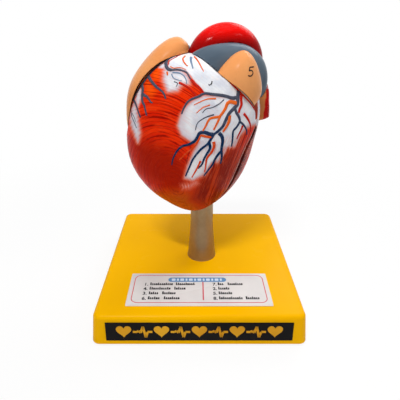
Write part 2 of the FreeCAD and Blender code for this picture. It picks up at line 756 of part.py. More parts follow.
def main():
    os.makedirs("parts", exist_ok=True)
    pieces = build_stand()
    for name, body in build_heart().items():
        body.translate(heart_seat)
        pieces[name] = body
    for name, body in pieces.items():
        body.exportStep(f"parts/{name}.step")
    print(len(pieces), "pieces written")


main()
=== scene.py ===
import math

import bpy
import numpy as np
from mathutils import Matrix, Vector, noise
from mathutils.bvhtree import BVHTree


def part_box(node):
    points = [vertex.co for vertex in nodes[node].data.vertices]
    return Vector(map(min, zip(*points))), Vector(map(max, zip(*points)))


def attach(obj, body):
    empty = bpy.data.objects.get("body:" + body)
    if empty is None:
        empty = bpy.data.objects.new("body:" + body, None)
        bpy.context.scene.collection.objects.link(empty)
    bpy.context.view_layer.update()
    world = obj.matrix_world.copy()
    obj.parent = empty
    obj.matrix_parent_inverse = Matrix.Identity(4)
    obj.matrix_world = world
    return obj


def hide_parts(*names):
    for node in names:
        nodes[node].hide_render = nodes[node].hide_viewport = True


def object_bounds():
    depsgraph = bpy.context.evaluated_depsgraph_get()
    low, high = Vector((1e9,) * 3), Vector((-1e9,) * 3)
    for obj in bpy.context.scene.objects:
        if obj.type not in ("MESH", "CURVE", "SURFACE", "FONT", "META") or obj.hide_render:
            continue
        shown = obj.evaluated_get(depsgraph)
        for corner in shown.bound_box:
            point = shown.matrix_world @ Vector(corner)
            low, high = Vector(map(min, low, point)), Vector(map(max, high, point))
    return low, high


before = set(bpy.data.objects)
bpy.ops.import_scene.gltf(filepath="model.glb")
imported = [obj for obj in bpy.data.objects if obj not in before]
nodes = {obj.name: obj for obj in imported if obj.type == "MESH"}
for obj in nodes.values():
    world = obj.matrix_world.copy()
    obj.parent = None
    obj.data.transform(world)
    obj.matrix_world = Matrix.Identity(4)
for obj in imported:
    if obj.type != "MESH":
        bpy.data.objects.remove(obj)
cadLow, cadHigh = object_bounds()
mm = 0.001
print("stage: frame loaded")


# picking, copying and finishing pieces
def pick(*pieces):
    bpy.ops.object.select_all(action="DESELECT")
    for piece in pieces:
        piece.select_set(True)
    bpy.context.view_layer.objects.active = pieces[0]


def useModifier(piece, kind, **settings):
    made = piece.modifiers.new(kind.title(), kind)
    for name, value in settings.items():
        setattr(made, name, value)
    pick(piece)
    bpy.ops.object.modifier_apply(modifier=made.name)


def copyNode(newName, node):  # a mesh made from a CAD node, with its triangles joined up
    piece = nodes[node].copy()
    piece.data = piece.data.copy()
    bpy.context.scene.collection.objects.link(piece)
    piece.parent = None
    for key in [key for key in piece.keys() if key.startswith("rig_")]:
        del piece[key]
    piece.name = newName
    piece.data.name = newName
    pick(piece)
    bpy.ops.object.mode_set(mode="EDIT")
    bpy.ops.mesh.select_all(action="SELECT")
    bpy.ops.mesh.remove_doubles(threshold=0.002 * mm)
    bpy.ops.object.mode_set(mode="OBJECT")
    return piece


def joinPieces(name, pieces):
    pick(*pieces)
    bpy.ops.object.join()
    made = bpy.context.object
    made.name = name
    made.data.name = name
    return made


def shadeByAngle(piece, degrees):
    pick(piece)
    bpy.ops.object.shade_smooth_by_angle(angle=math.radians(degrees))


def bakePlace(piece):
    pick(piece)
    bpy.ops.object.transform_apply(location=True, rotation=True, scale=True)


def finishPiece(piece, body, material, replaces=()):
    piece.data.materials.clear()
    piece.data.materials.append(material)
    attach(piece, body)
    if replaces:
        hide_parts(*replaces)
    return piece


def dressNode(name, material):  # a CAD node that stays as it is
    nodes[name].data.materials.clear()
    nodes[name].data.materials.append(material)


def dressedCopy(node, body, material, degrees, name=None):  # a copy that stands for its node
    words = node.split("_")
    piece = copyNode(name or words[0] + "".join(word.title() for word in words[1:]), node)
    shadeByAngle(piece, degrees)
    return finishPiece(piece, body, material, replaces=[node])


def pointsOf(piece):
    found = np.zeros(len(piece.data.vertices) * 3, np.float32)
    piece.data.vertices.foreach_get("co", found)
    return found.reshape(-1, 3).astype(float)


def normalsOf(piece):
    found = np.zeros(len(piece.data.vertices) * 3, np.float32)
    piece.data.vertices.foreach_get("normal", found)
    return found.reshape(-1, 3).astype(float)


def movePoints(piece, points):
    piece.data.vertices.foreach_set("co", points.astype(np.float32).ravel())
    piece.data.update()


def setLayer(piece, name, values):
    layer = piece.data.attributes.new(name, "FLOAT", "POINT")
    layer.data.foreach_set("value", np.asarray(values, np.float32))


def treeOf(piece):
    bpy.context.view_layer.update()
    return BVHTree.FromObject(piece, bpy.context.evaluated_depsgraph_get())


def smoothStep(values, low, high):
    share = np.clip((values - low) / (high - low), 0, 1)
    return share * share * (3 - 2 * share)


def blendTo(first, second, share):
    return first * (1 - share) + second * share


# camera, and the view plane that the paint is laid out on
viewpoint = {
    "place": (-2.85 * mm, -275.21 * mm, 209.20 * mm),
    "lookDown": 25.933,           # degrees
    "lens": 34.619,
    "sensor": 36.0,
    "size": 400,                  # view places run from 0 to this, across and down
    "axisColumn": 195.225,        # the column that the lens looks straight at
}


def makeCamera():
    bpy.ops.object.camera_add(
        location=viewpoint["place"],
        rotation=(math.radians(90 - viewpoint["lookDown"]), 0, 0))
    camera = bpy.context.object
    camera.data.sensor_width = viewpoint["sensor"]
    camera.data.lens = viewpoint["lens"]
    camera.data.shift_x = 0.5 - viewpoint["axisColumn"] / viewpoint["size"]
    camera.data.clip_start = 0.01
    bpy.context.scene.camera = camera


def viewAxes():  # the camera's right, up and ahead, and its reach in view units
    down = math.radians(viewpoint["lookDown"])
    ahead = np.array([0.0, math.cos(down), -math.sin(down)])
    right = np.array([1.0, 0.0, 0.0])
    reach = viewpoint["lens"] / viewpoint["sensor"] * viewpoint["size"]
    return right, np.cross(right, ahead), ahead, reach


def toView(points):  # the view column and row of each point
    right, upward, ahead, reach = viewAxes()
    offset = points - np.array(viewpoint["place"])
    scale = reach / (offset @ ahead)
    return np.stack([viewpoint["axisColumn"] + scale * (offset @ right),
                     viewpoint["size"] / 2 - scale * (offset @ upward)], axis=1)


def fromView(tree, column, row):  # the point of a surface that lies at a view place
    right, upward, ahead, reach = viewAxes()
    way = Vector(ahead * reach + right * (column - viewpoint["axisColumn"])
                 + upward * (viewpoint["size"] / 2 - row)).normalized()
    return tree.ray_cast(Vector(viewpoint["place"]), way)[0]


def fromBehind(tree, across, height):  # the same from straight behind, by x and z in millimetres
    return tree.ray_cast(Vector((across * mm, 0.3, height * mm)), Vector((0, -1, 0)))[0]


def insideOutline(points, outline, blur):  # 1 inside, 0 outside, soft over blur at the edge
    corners = np.array(outline, float)
    ends = np.roll(corners, -1, axis=0)
    x, y = points[:, 0], points[:, 1]
    inside = np.zeros(len(points), bool)
    nearest = np.full(len(points), 1e9)
    for a, b in zip(corners, ends):
        crosses = (a[1] > y) != (b[1] > y)
        with np.errstate(divide="ignore", invalid="ignore"):
            at = (b[0] - a[0]) * (y - a[1]) / (b[1] - a[1]) + a[0]
        inside ^= crosses & (x < at)
        nearest = np.minimum(nearest, distanceToSegment(points, a, b))
    return smoothStep(np.where(inside, nearest, -nearest), -blur, blur)


def distanceToSegment(points, a, b):
    along = b - a
    share = np.clip(((points - a) @ along) / max(along @ along, 1e-12), 0, 1)
    return np.linalg.norm(points - a - share[:, None] * along, axis=1)


# material building
gloss = 0.025                     # specular level of most of the lacquered paint


def paint(red, green, blue):  # screen colour to linear
    def linear(value):
        value /= 255
        return value / 12.92 if value <= 0.04045 else ((value + 0.055) / 1.055) ** 2.4
    return (linear(red), linear(green), linear(blue), 1.0)


def paler(colour, share):
    return tuple(value + (255 - value) * share for value in colour)


class Recipe:  # the nodes of a material or a world, with short ways to add them
    def __init__(self, owner):
        self.owner = bpy.data.materials.new(owner) if isinstance(owner, str) else owner
        self.owner.use_nodes = True
        self.tree = self.owner.node_tree
        self.tree.nodes.clear()

    def add(self, kind, inputs=None, **settings):
        made = self.tree.nodes.new("ShaderNode" + kind)
        for name, value in settings.items():
            setattr(made, name, value)
        for name, value in (inputs or {}).items():
            self.feed(made.inputs[name], value)
        return made

    def feed(self, socket, value):
        if isinstance(value, bpy.types.NodeSocket):
            self.tree.links.new(value, socket)
        elif socket.type == "RGBA" and len(value) == 3:  # a screen colour
            socket.default_value = paint(*value)
        else:
            socket.default_value = value

    def mix(self, share, first, second):
        return self.add("Mix", {0: share, 6: first, 7: second}, data_type="RGBA").outputs[2]

    def coats(self, tone, *coats):  # one colour over another, each with how much of it there is
        for share, colour in coats:
            tone = self.mix(share, tone, colour)
        return tone

    def sum(self, operation, first, second):
        return self.add("Math", {0: first, 1: second}, operation=operation).outputs[0]

    def times(self, first, second):
        return self.sum("MULTIPLY", first, second)

    def ramp(self, value, low, high, toLow=0.0, toHigh=1.0):
        made = self.add("MapRange", {"Value": value, "From Min": low, "From Max": high,
                                     "To Min": toLow, "To Max": toHigh},
                        interpolation_type="SMOOTHSTEP")
        return made.outputs["Result"]

    def place(self):
        return self.add("TexCoord").outputs["Object"]

    def placeAlong(self, axis):  # 0, 1 or 2 for x, y or z
        return self.add("SeparateXYZ", {0: self.place()}).outputs[axis]

    def layer(self, name):
        return self.add("Attribute", attribute_name=name).outputs["Fac"]

    def noise(self, vector, scale, detail=3.0, roughness=0.5):
        made = self.add("TexNoise", {"Vector": vector, "Scale": scale, "Detail": detail,
                                     "Roughness": roughness})
        return made.outputs["Fac"]

    def cloudy(self, place, look):  # broad changes between a look's two colours
        cloud = self.ramp(self.noise(place, 26.0, 2.0), 0.35, 0.7)
        return self.mix(cloud, look["colour"], look["shade"])

    def edgeOf(self, share):  # 0 where the share is 0 or 1, most between
        return self.times(self.times(share, self.sum("SUBTRACT", 1.0, share)), 3.2)

    def bump(self, height, strength, distance):
        made = self.add("Bump", {"Height": height, "Strength": strength, "Distance": distance})
        return made.outputs["Normal"]

    def softPeel(self, place):  # the slight waviness of lacquer
        return self.bump(self.noise(place, 160.0, 1.0), 0.06, 0.12 * mm)

    def surface(self, colour, roughness, normal, shine=0.5, **sockets):
        shader = self.add("BsdfPrincipled", {"Base Color": colour, "Roughness": roughness,
                                             "Normal": normal, "Specular IOR Level": shine,
                                             **sockets})
        return self.output("Material", shader)

    def output(self, kind, shader):
        self.add("Output" + kind, {"Surface": shader.outputs[0]})
        return self.owner


def lacquered(name, look):  # broad tone changes under fine brush marks
    recipe = Recipe(name)
    place = recipe.place()
    marks = recipe.noise(place, 620.0, 4.0, 0.6)
    darker = tuple(value * 0.85 for value in look["colour"])
    tone = recipe.mix(recipe.ramp(marks, 0.5, 0.8, 0.0, 0.2), recipe.cloudy(place, look), darker)
    rough = recipe.ramp(marks, 0.2, 0.8, look["roughness"] * 0.9, look["roughness"] * 1.15)
    return recipe.surface(tone, rough, recipe.softPeel(place), look.get("shine", gloss))


def speckled(name, look):  # one grain for the colour, the roughness and the relief
    recipe = Recipe(name)
    place, rough = recipe.place(), look["roughness"]
    if "stretch" in look:
        place = recipe.add("Mapping", {"Vector": place, "Scale": look["stretch"]}).outputs[0]
    grain = recipe.noise(place, *look["grain"])
    tone = recipe.mix(recipe.ramp(grain, *look["spread"]), look["colour"], look["shade"])
    if isinstance(rough, tuple):
        rough = recipe.ramp(grain, 0.2, 0.8, *rough)
    strength, depth = look["bump"]
    return recipe.surface(tone, rough, recipe.bump(grain, strength, depth * mm),
                          look.get("shine", 0.5), **look.get("sockets", {}))


print("stage: tools ready")


# base
plinthLook = {"colour": (248, 185, 0), "worn": (243, 178, 1), "roughness": 0.22, "peel": 60.0}


def yellowPlastic():
    look = plinthLook
    recipe = Recipe("yellowPlastic")
    place = recipe.place()
    cloud = recipe.ramp(recipe.noise(place, 14.0), 0.35, 0.75)
    scuffs = recipe.noise(place, 90.0, 5.0)
    rough = recipe.ramp(scuffs, 0.45, 0.75, look["roughness"], look["roughness"] + 0.08)
    peel = recipe.noise(place, look["peel"], 1.0)
    return recipe.surface(recipe.mix(cloud, look["colour"], look["worn"]), rough,
                          recipe.bump(peel, 0.04, 0.15 * mm), gloss)


def makePlinth():
    dressedCopy("base_plinth", "stand", yellowPlastic(), 30)


rubberLook = {"grain": (1500.0,), "spread": (0.5, 0.8), "colour": (32, 32, 33),
              "shade": (70, 68, 66), "roughness": 0.85, "bump": (0.4, 0.1)}


def makeFeet():
    rubber = speckled("footRubber", rubberLook)
    for node in ("foot_front_left", "foot_front_right", "foot_rear_left", "foot_rear_right"):
        dressedCopy(node, "stand", rubber, 30, node.replace("_", "-"))


# column, pin and washers
columnLook = {"grain": (420.0,), "spread": (0.3, 0.75), "colour": (156, 132, 98),
              "shade": (150, 126, 92), "roughness": (0.30, 0.33), "bump": (0.015, 0.1),
              "sockets": {"Metallic": 0.7}}
steelLook = {"stretch": (0.1, 0.1, 3.0), "grain": (900.0, 4.0), "spread": (0.3, 0.7),
             "colour": (190, 190, 188), "shade": (150, 150, 150), "roughness": (0.25, 0.45),
             "bump": (0.15, 0.05), "sockets": {"Metallic": 1.0}}
nylonLook = {"grain": (300.0,), "spread": (0.3, 0.8), "colour": (236, 233, 224),
             "shade": (214, 209, 196), "roughness": 0.42, "bump": (0.1, 0.1),
             "sockets": {"Subsurface Weight": 0.1, "Subsurface Scale": 1.0 * mm}}


def makeColumn():
    column = speckled("columnPaint", columnLook)
    dressedCopy("support_column", "stand", column, 40)
    steel, nylon = speckled("brushedSteel", steelLook), speckled("whiteNylon", nylonLook)
    for name in ("column_screw", "column_washer", "swivel_pin"):
        dressNode(name, steel)
    for name in ("seat_washer", "pivot_bush", "peg_sleeves", "cover_pegs"):
        dressNode(name, nylon)


# key card: plain numbers and bars where a key's words would be
cardLook = {
    "film": {"grain": (40.0,), "spread": (0.3, 0.8), "colour": (226, 222, 220),
             "shade": (214, 211, 210), "roughness": 0.3, "bump": (0.1, 0.1), "shine": 0.06},
    "inks": {"red": (206, 72, 84), "blue": (92, 138, 184), "pale": (206, 222, 240),
             "black": (34, 32, 36)},
    "print": {"grain": (2600.0, 2.0), "spread": (0.45, 0.75, 0.0, 0.35), "roughness": 0.35,
              "bump": (0.08, 0.05), "shine": 0.05},
    "ink": 0.06,                          # how far the print stands up
    "borderInset": (3.0, 3.1, 2.0),       # sides, front, back
    "borderRadius": 5.0,
    "borderWidth": 0.6,
    "heading": (44.4, 5.2, 7.8),          # length, height, centre from the back edge
    "headingX": -1.3,
    "bead": (2.9, 1.5, 2.7),              # wide ones, narrow ones, height
    "beads": 12,
    "beadStep": 3.3,
    "ruleX": 3.0,
    "ruleEnds": (10.4, 31.2),             # from the back edge
    "ruleWidth": 0.9,
    "rows": (13.2, 18.4, 23.7, 29.2),     # from the back edge
    "numberX": (-41.4, 10.2),
    "wordX": (-36.4, 14.8),
    "numbers": (("1", "4", "3", "6"), ("7", "2", "5", "8")),
    # word lengths in each row, left column then right
    "words": (((17.5, 15.5), (16.5, 9.5), (8.0, 10.5), (9.5, 12.5)),
              ((5.5, 12.0), (9.0,), (10.5,), (17.5, 10.5))),
    "wordGap": 1.9,
    "digit": 4.4,
    "tick": (0.95, 2.15),                 # width and height
    "tickGap": 0.5,
    "firstTick": 1.45,                    # how much taller the first of a word is
    "uneven": 0.3,                        # how much taller or wider some of the others are
    "underBar": 0.5,
}


def printInk(name, colour):
    return speckled(name, {"colour": colour, "shade": paler(colour, 0.35), **cardLook["print"]})


def raiseFaces(way):  # in edit mode: flat faces become closed solids, and edit mode ends
    bpy.ops.mesh.select_all(action="SELECT")
    bpy.ops.mesh.extrude_region_move(TRANSFORM_OT_translate={"value": way})
    bpy.ops.mesh.select_all(action="SELECT")
    bpy.ops.mesh.normals_make_consistent(inside=False)
    bpy.ops.object.mode_set(mode="OBJECT")


def roundedPlate(name, width, depth, radius, place, segments=8, band=None):
    # a raised print lying level on place, or only the band along its edge
    bpy.ops.mesh.primitive_plane_add(size=1, location=place)
    plate = bpy.context.object
    plate.name = name
    plate.scale = (width * mm, depth * mm, 1)
    bakePlace(plate)
    bpy.ops.object.mode_set(mode="EDIT")
    bpy.ops.mesh.select_all(action="SELECT")
    bpy.ops.mesh.bevel(offset=radius * mm, segments=segments, affect="VERTICES")
    if band:
        bpy.ops.mesh.select_all(action="SELECT")
        bpy.ops.mesh.inset(thickness=band * mm)
        bpy.ops.mesh.delete(type="FACE")
    raiseFaces((0, 0, cardLook["ink"] * mm))
    return plate


def cardPoint(x, fromBack, layers=0):  # on the card's top, or on so many thicknesses of print
    low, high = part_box("key_card")
    return Vector(((low.x + high.x) / 2 + x * mm, high.y - fromBack * mm,
                   high.z + layers * cardLook["ink"] * mm))


def makeBorder():
    low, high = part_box("key_card")
    side, front, rear = cardLook["borderInset"]
    return roundedPlate("cardBorder", (high.x - low.x) / mm - 2 * side,
                        (high.y - low.y) / mm - front - rear, cardLook["borderRadius"],
                        cardPoint(0, ((high.y - low.y) / mm + rear - front) / 2),
                        segments=10, band=cardLook["borderWidth"])


def makeRule():
    start, stop = cardLook["ruleEnds"]
    return roundedPlate("cardRule", cardLook["ruleWidth"], stop - start, 0.3,
                        cardPoint(cardLook["ruleX"], (start + stop) / 2))


def makeHeading():
    length, tall, fromBack = cardLook["heading"]
    return roundedPlate("cardHeading", length, tall, tall * 0.49,
                        cardPoint(cardLook["headingX"], fromBack))


def makeBeads():
    beads = []
    for i in range(cardLook["beads"]):
        x = cardLook["headingX"] + (i - (cardLook["beads"] - 1) / 2) * cardLook["beadStep"]
        beads.append(roundedPlate("bead", cardLook["bead"][i % 2], cardLook["bead"][2], 0.6,
                                  cardPoint(x, cardLook["heading"][2], 1)))
    return joinPieces("cardHeadingBeads", beads)


def digit(text, x, fromBack):  # a plain number lying level
    size = cardLook["digit"] * mm
    bpy.ops.object.text_add(location=cardPoint(x, fromBack + cardLook["digit"] * 0.35))
    made = bpy.context.object
    made.data.body = text
    made.data.size = size
    made.data.offset = size * 0.03
    made.data.extrude = cardLook["ink"] * mm
    made.data.resolution_u = 3
    pick(made)
    bpy.ops.object.convert(target="MESH")
    bakePlace(bpy.context.object)
    return bpy.context.object


def flatBar(x, fromBack, width, depth):
    thick = cardLook["ink"] * mm
    bpy.ops.mesh.primitive_cube_add(size=1, location=cardPoint(x, fromBack, 0.5),
                                    scale=(width * mm, depth * mm, thick))
    bakePlace(bpy.context.object)
    return bpy.context.object


def wordTicks(start, length, fromBack, seed):  # uneven ticks, grey like a line of small print
    ticks = []
    usual, low = cardLook["tick"]
    step = usual + cardLook["tickGap"]
    for i in range(int(length / step)):
        taller = cardLook["uneven"] * ((seed + i * 5) % 4 == 0)
        tall = low * (cardLook["firstTick"] if i == 0 else 1 + taller)
        wide = usual * (1 + cardLook["uneven"] * ((seed + i * 3) % 4 == 1))
        ticks.append(flatBar(start + i * step, fromBack - (tall - low) / 2, wide, tall))
    under = flatBar(start + (length - step) / 2, fromBack + low * 0.3, length - step,
                    cardLook["underBar"])
    return ticks + [under]


def makeRows():
    marks = []
    for column in range(2):
        for row, fromBack in enumerate(cardLook["rows"]):
            number = cardLook["numbers"][column][row] + "."
            marks.append(digit(number, cardLook["numberX"][column], fromBack))
            at = cardLook["wordX"][column]
            for word, length in enumerate(cardLook["words"][column][row]):
                marks += wordTicks(at, length, fromBack, 7 * row + 3 * word + column)
                at += length + cardLook["wordGap"]
    return joinPieces("cardRows", marks)


def makeCard():
    dressedCopy("key_card", "stand", speckled("cardFilm", cardLook["film"]), 30)
    red, blue, pale, black = [printInk(name + "Ink", colour)
                              for name, colour in cardLook["inks"].items()]
    for make, ink in ((makeBorder, red), (makeRule, red), (makeHeading, blue), (makeBeads, pale),
                      (makeRows, black)):
        finishPiece(make(), "stand", ink)


# name plate: hearts and a pulse trace in gold
plateLook = {
    "film": {"grain": (60.0,), "spread": (0.3, 0.8), "colour": (20, 18, 19),
             "shade": (30, 27, 27), "roughness": 0.32, "bump": (0.1, 0.1), "shine": 0.05},
    "gold": {"colour": (228, 168, 44), "shade": (206, 140, 30), "roughness": 0.3},
    "lean": 5.56,                 # degrees
    "raise": 0.12,
    "heart": 10.6,
    "hearts": 5,
    "span": 104.0,                # from the first heart to the last
    "pulse": 1.7,                 # width of the trace
    "rise": 5.4,
    "pulseGap": 1.0,
    # shares of the length and the rise
    "beat": ((0.0, 0.0), (0.2, 0.0), (0.3, 0.16), (0.4, -0.12), (0.52, 0.78), (0.66, -0.82),
             (0.76, 0.0), (1.0, 0.0)),
}


def plateSpot(across, height, out=0.0):  # a point on the plate's leaning front
    low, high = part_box("name_plate")
    foot = Vector(((low.x + high.x) / 2 + across * mm, low.y, low.z))
    lean = math.radians(plateLook["lean"])
    upward = Vector((0, math.sin(lean), math.cos(lean)))
    outward = Vector((0, -math.cos(lean), math.sin(lean)))
    return foot + upward * (height * mm) + outward * (out * mm)


def heartOutline(size):
    found = []
    count = 40
    for i in range(count):
        t = 2 * math.pi * i / count
        x = 16 * math.sin(t) ** 3
        y = 13 * math.cos(t) - 5 * math.cos(2 * t) - 2 * math.cos(3 * t) - math.cos(4 * t)
        found.append((x * size / 32, (y + 2.4) * size / 32))
    return found


def flatShape(name, outline, centreX, centreY):  # a filled ring moved to the outline, and raised
    bpy.ops.mesh.primitive_circle_add(vertices=len(outline), fill_type="NGON", radius=mm)
    piece = bpy.context.object
    piece.name = name
    movePoints(piece, np.array([plateSpot(centreX + x, centreY + y) for x, y in outline]))
    bpy.ops.object.mode_set(mode="EDIT")
    raiseFaces(plateSpot(0, 0, plateLook["raise"]) - plateSpot(0, 0))
    return piece


def strokeOutline(a, b, width):  # the corners of a straight stroke
    way = np.subtract(b, a)
    side = np.array((-way[1], way[0])) / np.linalg.norm(way) * width / 2
    return [a + side, b + side, b - side, a - side]


def makePlate():
    look = plateLook
    dressedCopy("name_plate", "stand", speckled("plateFilm", look["film"]), 30)
    low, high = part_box("name_plate")
    middle = (high.z - low.z) / mm / math.cos(math.radians(look["lean"])) / 2
    step = look["span"] / (look["hearts"] - 1)
    shapes = []
    for i in range(look["hearts"]):
        x = (i - (look["hearts"] - 1) / 2) * step
        shapes.append(flatShape("goldHeart", heartOutline(look["heart"]), x, middle))
        if i < look["hearts"] - 1:
            start = x + look["heart"] / 2 + look["pulseGap"]
            length = step - look["heart"] - 2 * look["pulseGap"]
            path = [(start + share * length, rise * look["rise"]) for share, rise in look["beat"]]
            for a, b in zip(path, path[1:]):
                shapes.append(flatShape("goldBeat", strokeOutline(a, b, look["pulse"]), 0, middle))
    ornament = joinPieces("plateOrnament", shapes)
    finishPiece(ornament, "stand", lacquered("goldInk", look["gold"]))


makePlinth()
makeFeet()
makeColumn()
makeCard()
makePlate()
print("stage: stand")


# the ventricles' painted walls
wallLook = {
    "voxel": 0.72,                # millimetres
    "splitAngle": 11.0,           # the plane the heart comes apart at
    "splitPlace": (2.5, -10.25),
    "chamberReach": 70.0,         # how far off a chamber's other side can be
    "bundle": 0.10,               # height of the fibre bundles outside
    "fineness": 0.42,             # of the bundles
    "trabecula": 0.55,            # height of the ridges inside
    "ridgeSize": 4.2,
    # deep: painted shade low on the heart
    # glow: a painted highlight on the muscle
    "glow": (255, 84, 8), "bright": (242, 52, 6), "full": (222, 32, 4), "deep": (166, 26, 2),
    # low: painted light bounced up from the yellow base
    "low": (198, 84, 18), "brown": (176, 58, 22), "brownDark": (98, 24, 14),
    "darkLine": (130, 8, 2), "paleLine": (250, 112, 58), "blush": (238, 118, 84),
    # edgeHighlight: a painted highlight along the cover's edge
    # groove: painted shadow in the seam behind the cover
    "lilac": (204, 184, 194), "groove": (38, 16, 20), "edgeHighlight": (190, 140, 128),
    "thread": (232, 128, 108),
    "fat": (240, 243, 248), "fatShade": (216, 221, 232), "fatWarm": (242, 226, 220),
    # hollowShade: painted shade in the hollows between the ridges inside
    "rightInside": (156, 66, 84), "leftInside": (188, 52, 38), "hollowShade": (92, 26, 34),
    "rim": (182, 66, 50), "rimPale": (222, 128, 104),
    "roughness": 0.24,
}
strandLook = {  # which way the brush strokes run
    # on the front they fan out from a place near the point of the heart
    "fanColumn": 146, "fanRow": 184, "fanLean": 0.31, "leanRow": 90, "squeeze": 1.3, "turn": 50,
    "leftSlant": (0.94, 0.35),    # on the front's left side they run straight
    "behindFoot": 74, "behindSlope": 0.55, "behindStretch": 1.4, "behindShift": 30,
    "edgeSlant": (0.8, 0.5),      # at the rear wall's front edge
}
fades = {  # where each paint starts and where it is full
    # view rows
    "frontLow": (184, 200), "frontTorn": (128, 145), "frontBrown": (118, 165),
    "frontPale": (124, 136),
    # millimetres: heights, depths and places across
    "rearDeep": (104, 78), "rearLow": (82, 72), "rearFat": (0, 6), "sideFat": (12, 6),
    "rearEdge": (2, 14), "rearBrown": (8, 30), "leftChamber": (-7, -1),
    # millimetres ahead of the split plane
    "splitHighlight": (2.4, 1.6), "splitShadow": (-5, -2.5), "splitEdge": (-22, -6),
    "splitRelief": (1.2, 4.0),
}
fatFront = [  # outlines on the view plane, how soft, how full, how torn by strands
    ([(184, 52.4), (176, 55.6), (170, 59), (168, 63), (168.5, 67), (172, 69.5), (179, 68.8),
      (186, 70.5), (191, 76), (195, 81.5), (200, 86.5), (204, 91.5), (209, 95), (225, 97),
      (238, 98), (243, 93), (238, 86), (225, 76), (212, 65), (200, 56), (193, 52)], 1.6, 1.0, 0.1),
    # this patch is white paint, and partly a painted highlight on the muscle's bulge
    ([(165, 67), (172, 70), (181, 71), (188, 77), (189, 83), (181, 84), (177, 90), (168, 91),
      (164, 80)], 8.5, 1.1, 0.8),
    ([(166, 61), (160, 64), (158, 68), (163, 69), (167, 67)], 3.0, 0.8, 0.4),
    ([(140, 86), (136, 94), (135, 101), (138, 108), (141, 100), (142, 90)], 3.5, 0.8, 0.4),
    ([(238, 88), (247, 97), (258, 102), (264, 112), (257, 123), (246, 128), (241, 134), (234, 146),
      (226, 148), (220, 160), (212, 164), (204, 174), (193, 180), (185, 178), (188, 166),
      (194, 152), (199, 143), (191, 141), (182, 135), (178, 126), (181, 115), (187, 106),
      (193, 101), (204, 96), (225, 97)], 6.0, 1.0, 0.3),
    ([(134, 102), (132, 108), (130, 116), (131, 126), (135, 136), (138, 143), (140.5, 134),
      (138.5, 122), (137, 110)], 5.5, 0.9, 0.7),
    ([(180, 184), (190, 182), (197, 178), (200, 184), (190, 190), (182, 190)], 5.0, 0.4, 0.8),
    ([(236, 84), (240, 70), (268, 70), (270, 106), (250, 103), (240, 96)], 2.0, 1.0, 0.1),
]
highlightFront = [  # painted highlight: where the muscle is brightest
    ([(145, 82), (149, 81), (156, 91), (152, 97), (146, 94)], 4.0, 1.0),
    ([(151, 73), (157, 67), (161, 70), (160, 80), (154, 80)], 4.0, 1.0),
]
sideFat = [([(247, 96), (266, 94), (266, 120), (254, 128), (247, 118)], 4.0, 1.0, 0.5)]  # rear wall
hazeFront = ([(177, 124), (182, 110), (189, 105), (187, 116), (185, 128), (193, 138), (185, 137)],
             5.0)
peachFront = ([(186, 49), (184, 52.2), (178, 54.4), (170.7, 57.6), (165, 60.2), (159.6, 63.6),
               (154, 68.6), (148.4, 74.8), (144.6, 80.4), (141.8, 83.6), (138.4, 89), (135.1, 94.8),
               (133.4, 99.6), (120, 104), (120, 49)], 0.6)
# where painted shadow lies in the seam beside the cover's edge
seamBehind = ([(250, 126), (264, 126), (264, 152), (252, 178), (234, 204), (220, 204), (228, 186),
               (238, 166), (247, 146)], 1.5)
# painted shade: where the front is darker, low on its left
underShadeFront = ([(128, 138), (150, 141), (176, 150), (187, 166), (190, 186), (175, 195), (150, 184),
              (136, 168)], 11.0)
fatBehind = [  # the same by x and z in millimetres, from behind
    ([(-45, 141), (-30, 128), (-14, 131), (6, 129), (24, 127), (38, 131), (44, 140), (40, 152),
      (-44, 152)], 3.0, 1.0, 0.8),
    ([(-17, 134), (-4, 134), (-3, 118), (1, 102), (4.5, 88), (6.5, 78), (3.5, 79), (-2, 90),
      (-8, 104), (-14, 118)], 2.6, 0.95, 0.8),
]
leftSideFront = ([(196, 145), (240, 92), (262, 92), (262, 170), (214, 214), (190, 200),
                   (200, 176)], 6)


def splitDistance(points):  # millimetres ahead of the split plane, negative behind it
    lean = math.radians(wallLook["splitAngle"])
    place = points[:, :2] / mm - np.array(wallLook["splitPlace"])
    x, y = place.T
    return -(y * math.cos(lean) + x * math.sin(lean))


def meetsItself(piece, points, normals, reach):  # 1 where the normal points at the piece itself
    tree = treeOf(piece)
    found = np.zeros(len(points))
    for i, (place, normal) in enumerate(zip(points, normals)):
        start = Vector(place) + Vector(normal) * 0.6 * mm
        found[i] = tree.ray_cast(start, Vector(normal), reach)[0] is not None
    return found


def blurAlongMesh(piece, values, rounds):
    edges = np.zeros(len(piece.data.edges) * 2, np.int32)
    piece.data.edges.foreach_get("vertices", edges)
    a, b = edges.reshape(-1, 2).T
    count = np.bincount(a, minlength=len(values)) + np.bincount(b, minlength=len(values)) + 1
    for _ in range(rounds):
        total = values + np.bincount(a, values[b], len(values))
        values = (total + np.bincount(b, values[a], len(values))) / count
    return values


def strongest(points, patches):
    return np.max([insideOutline(points, outline, blur) * full
                   for outline, blur, full, *_ in patches], axis=0)


def tornBy(points, patches):  # how much strands break up a patch's edge
    return np.max([insideOutline(points, outline, blur * 2) * torn
                   for outline, blur, _, torn in patches], axis=0)


def strandHeights(across, along):
    fine = wallLook["fineness"]
    return np.array([noise.fractal(Vector((a * fine, b * fine * 0.07, 3.0)), 1.0, 2.0, 3)
                     for a, b in zip(across, along)])


def ridgeHeights(points):
    spots = points / (wallLook["ridgeSize"] * mm)
    return 1 - np.abs(np.array([noise.noise(Vector((x, y, z * 0.45))) for x, y, z in spots])) * 2.4


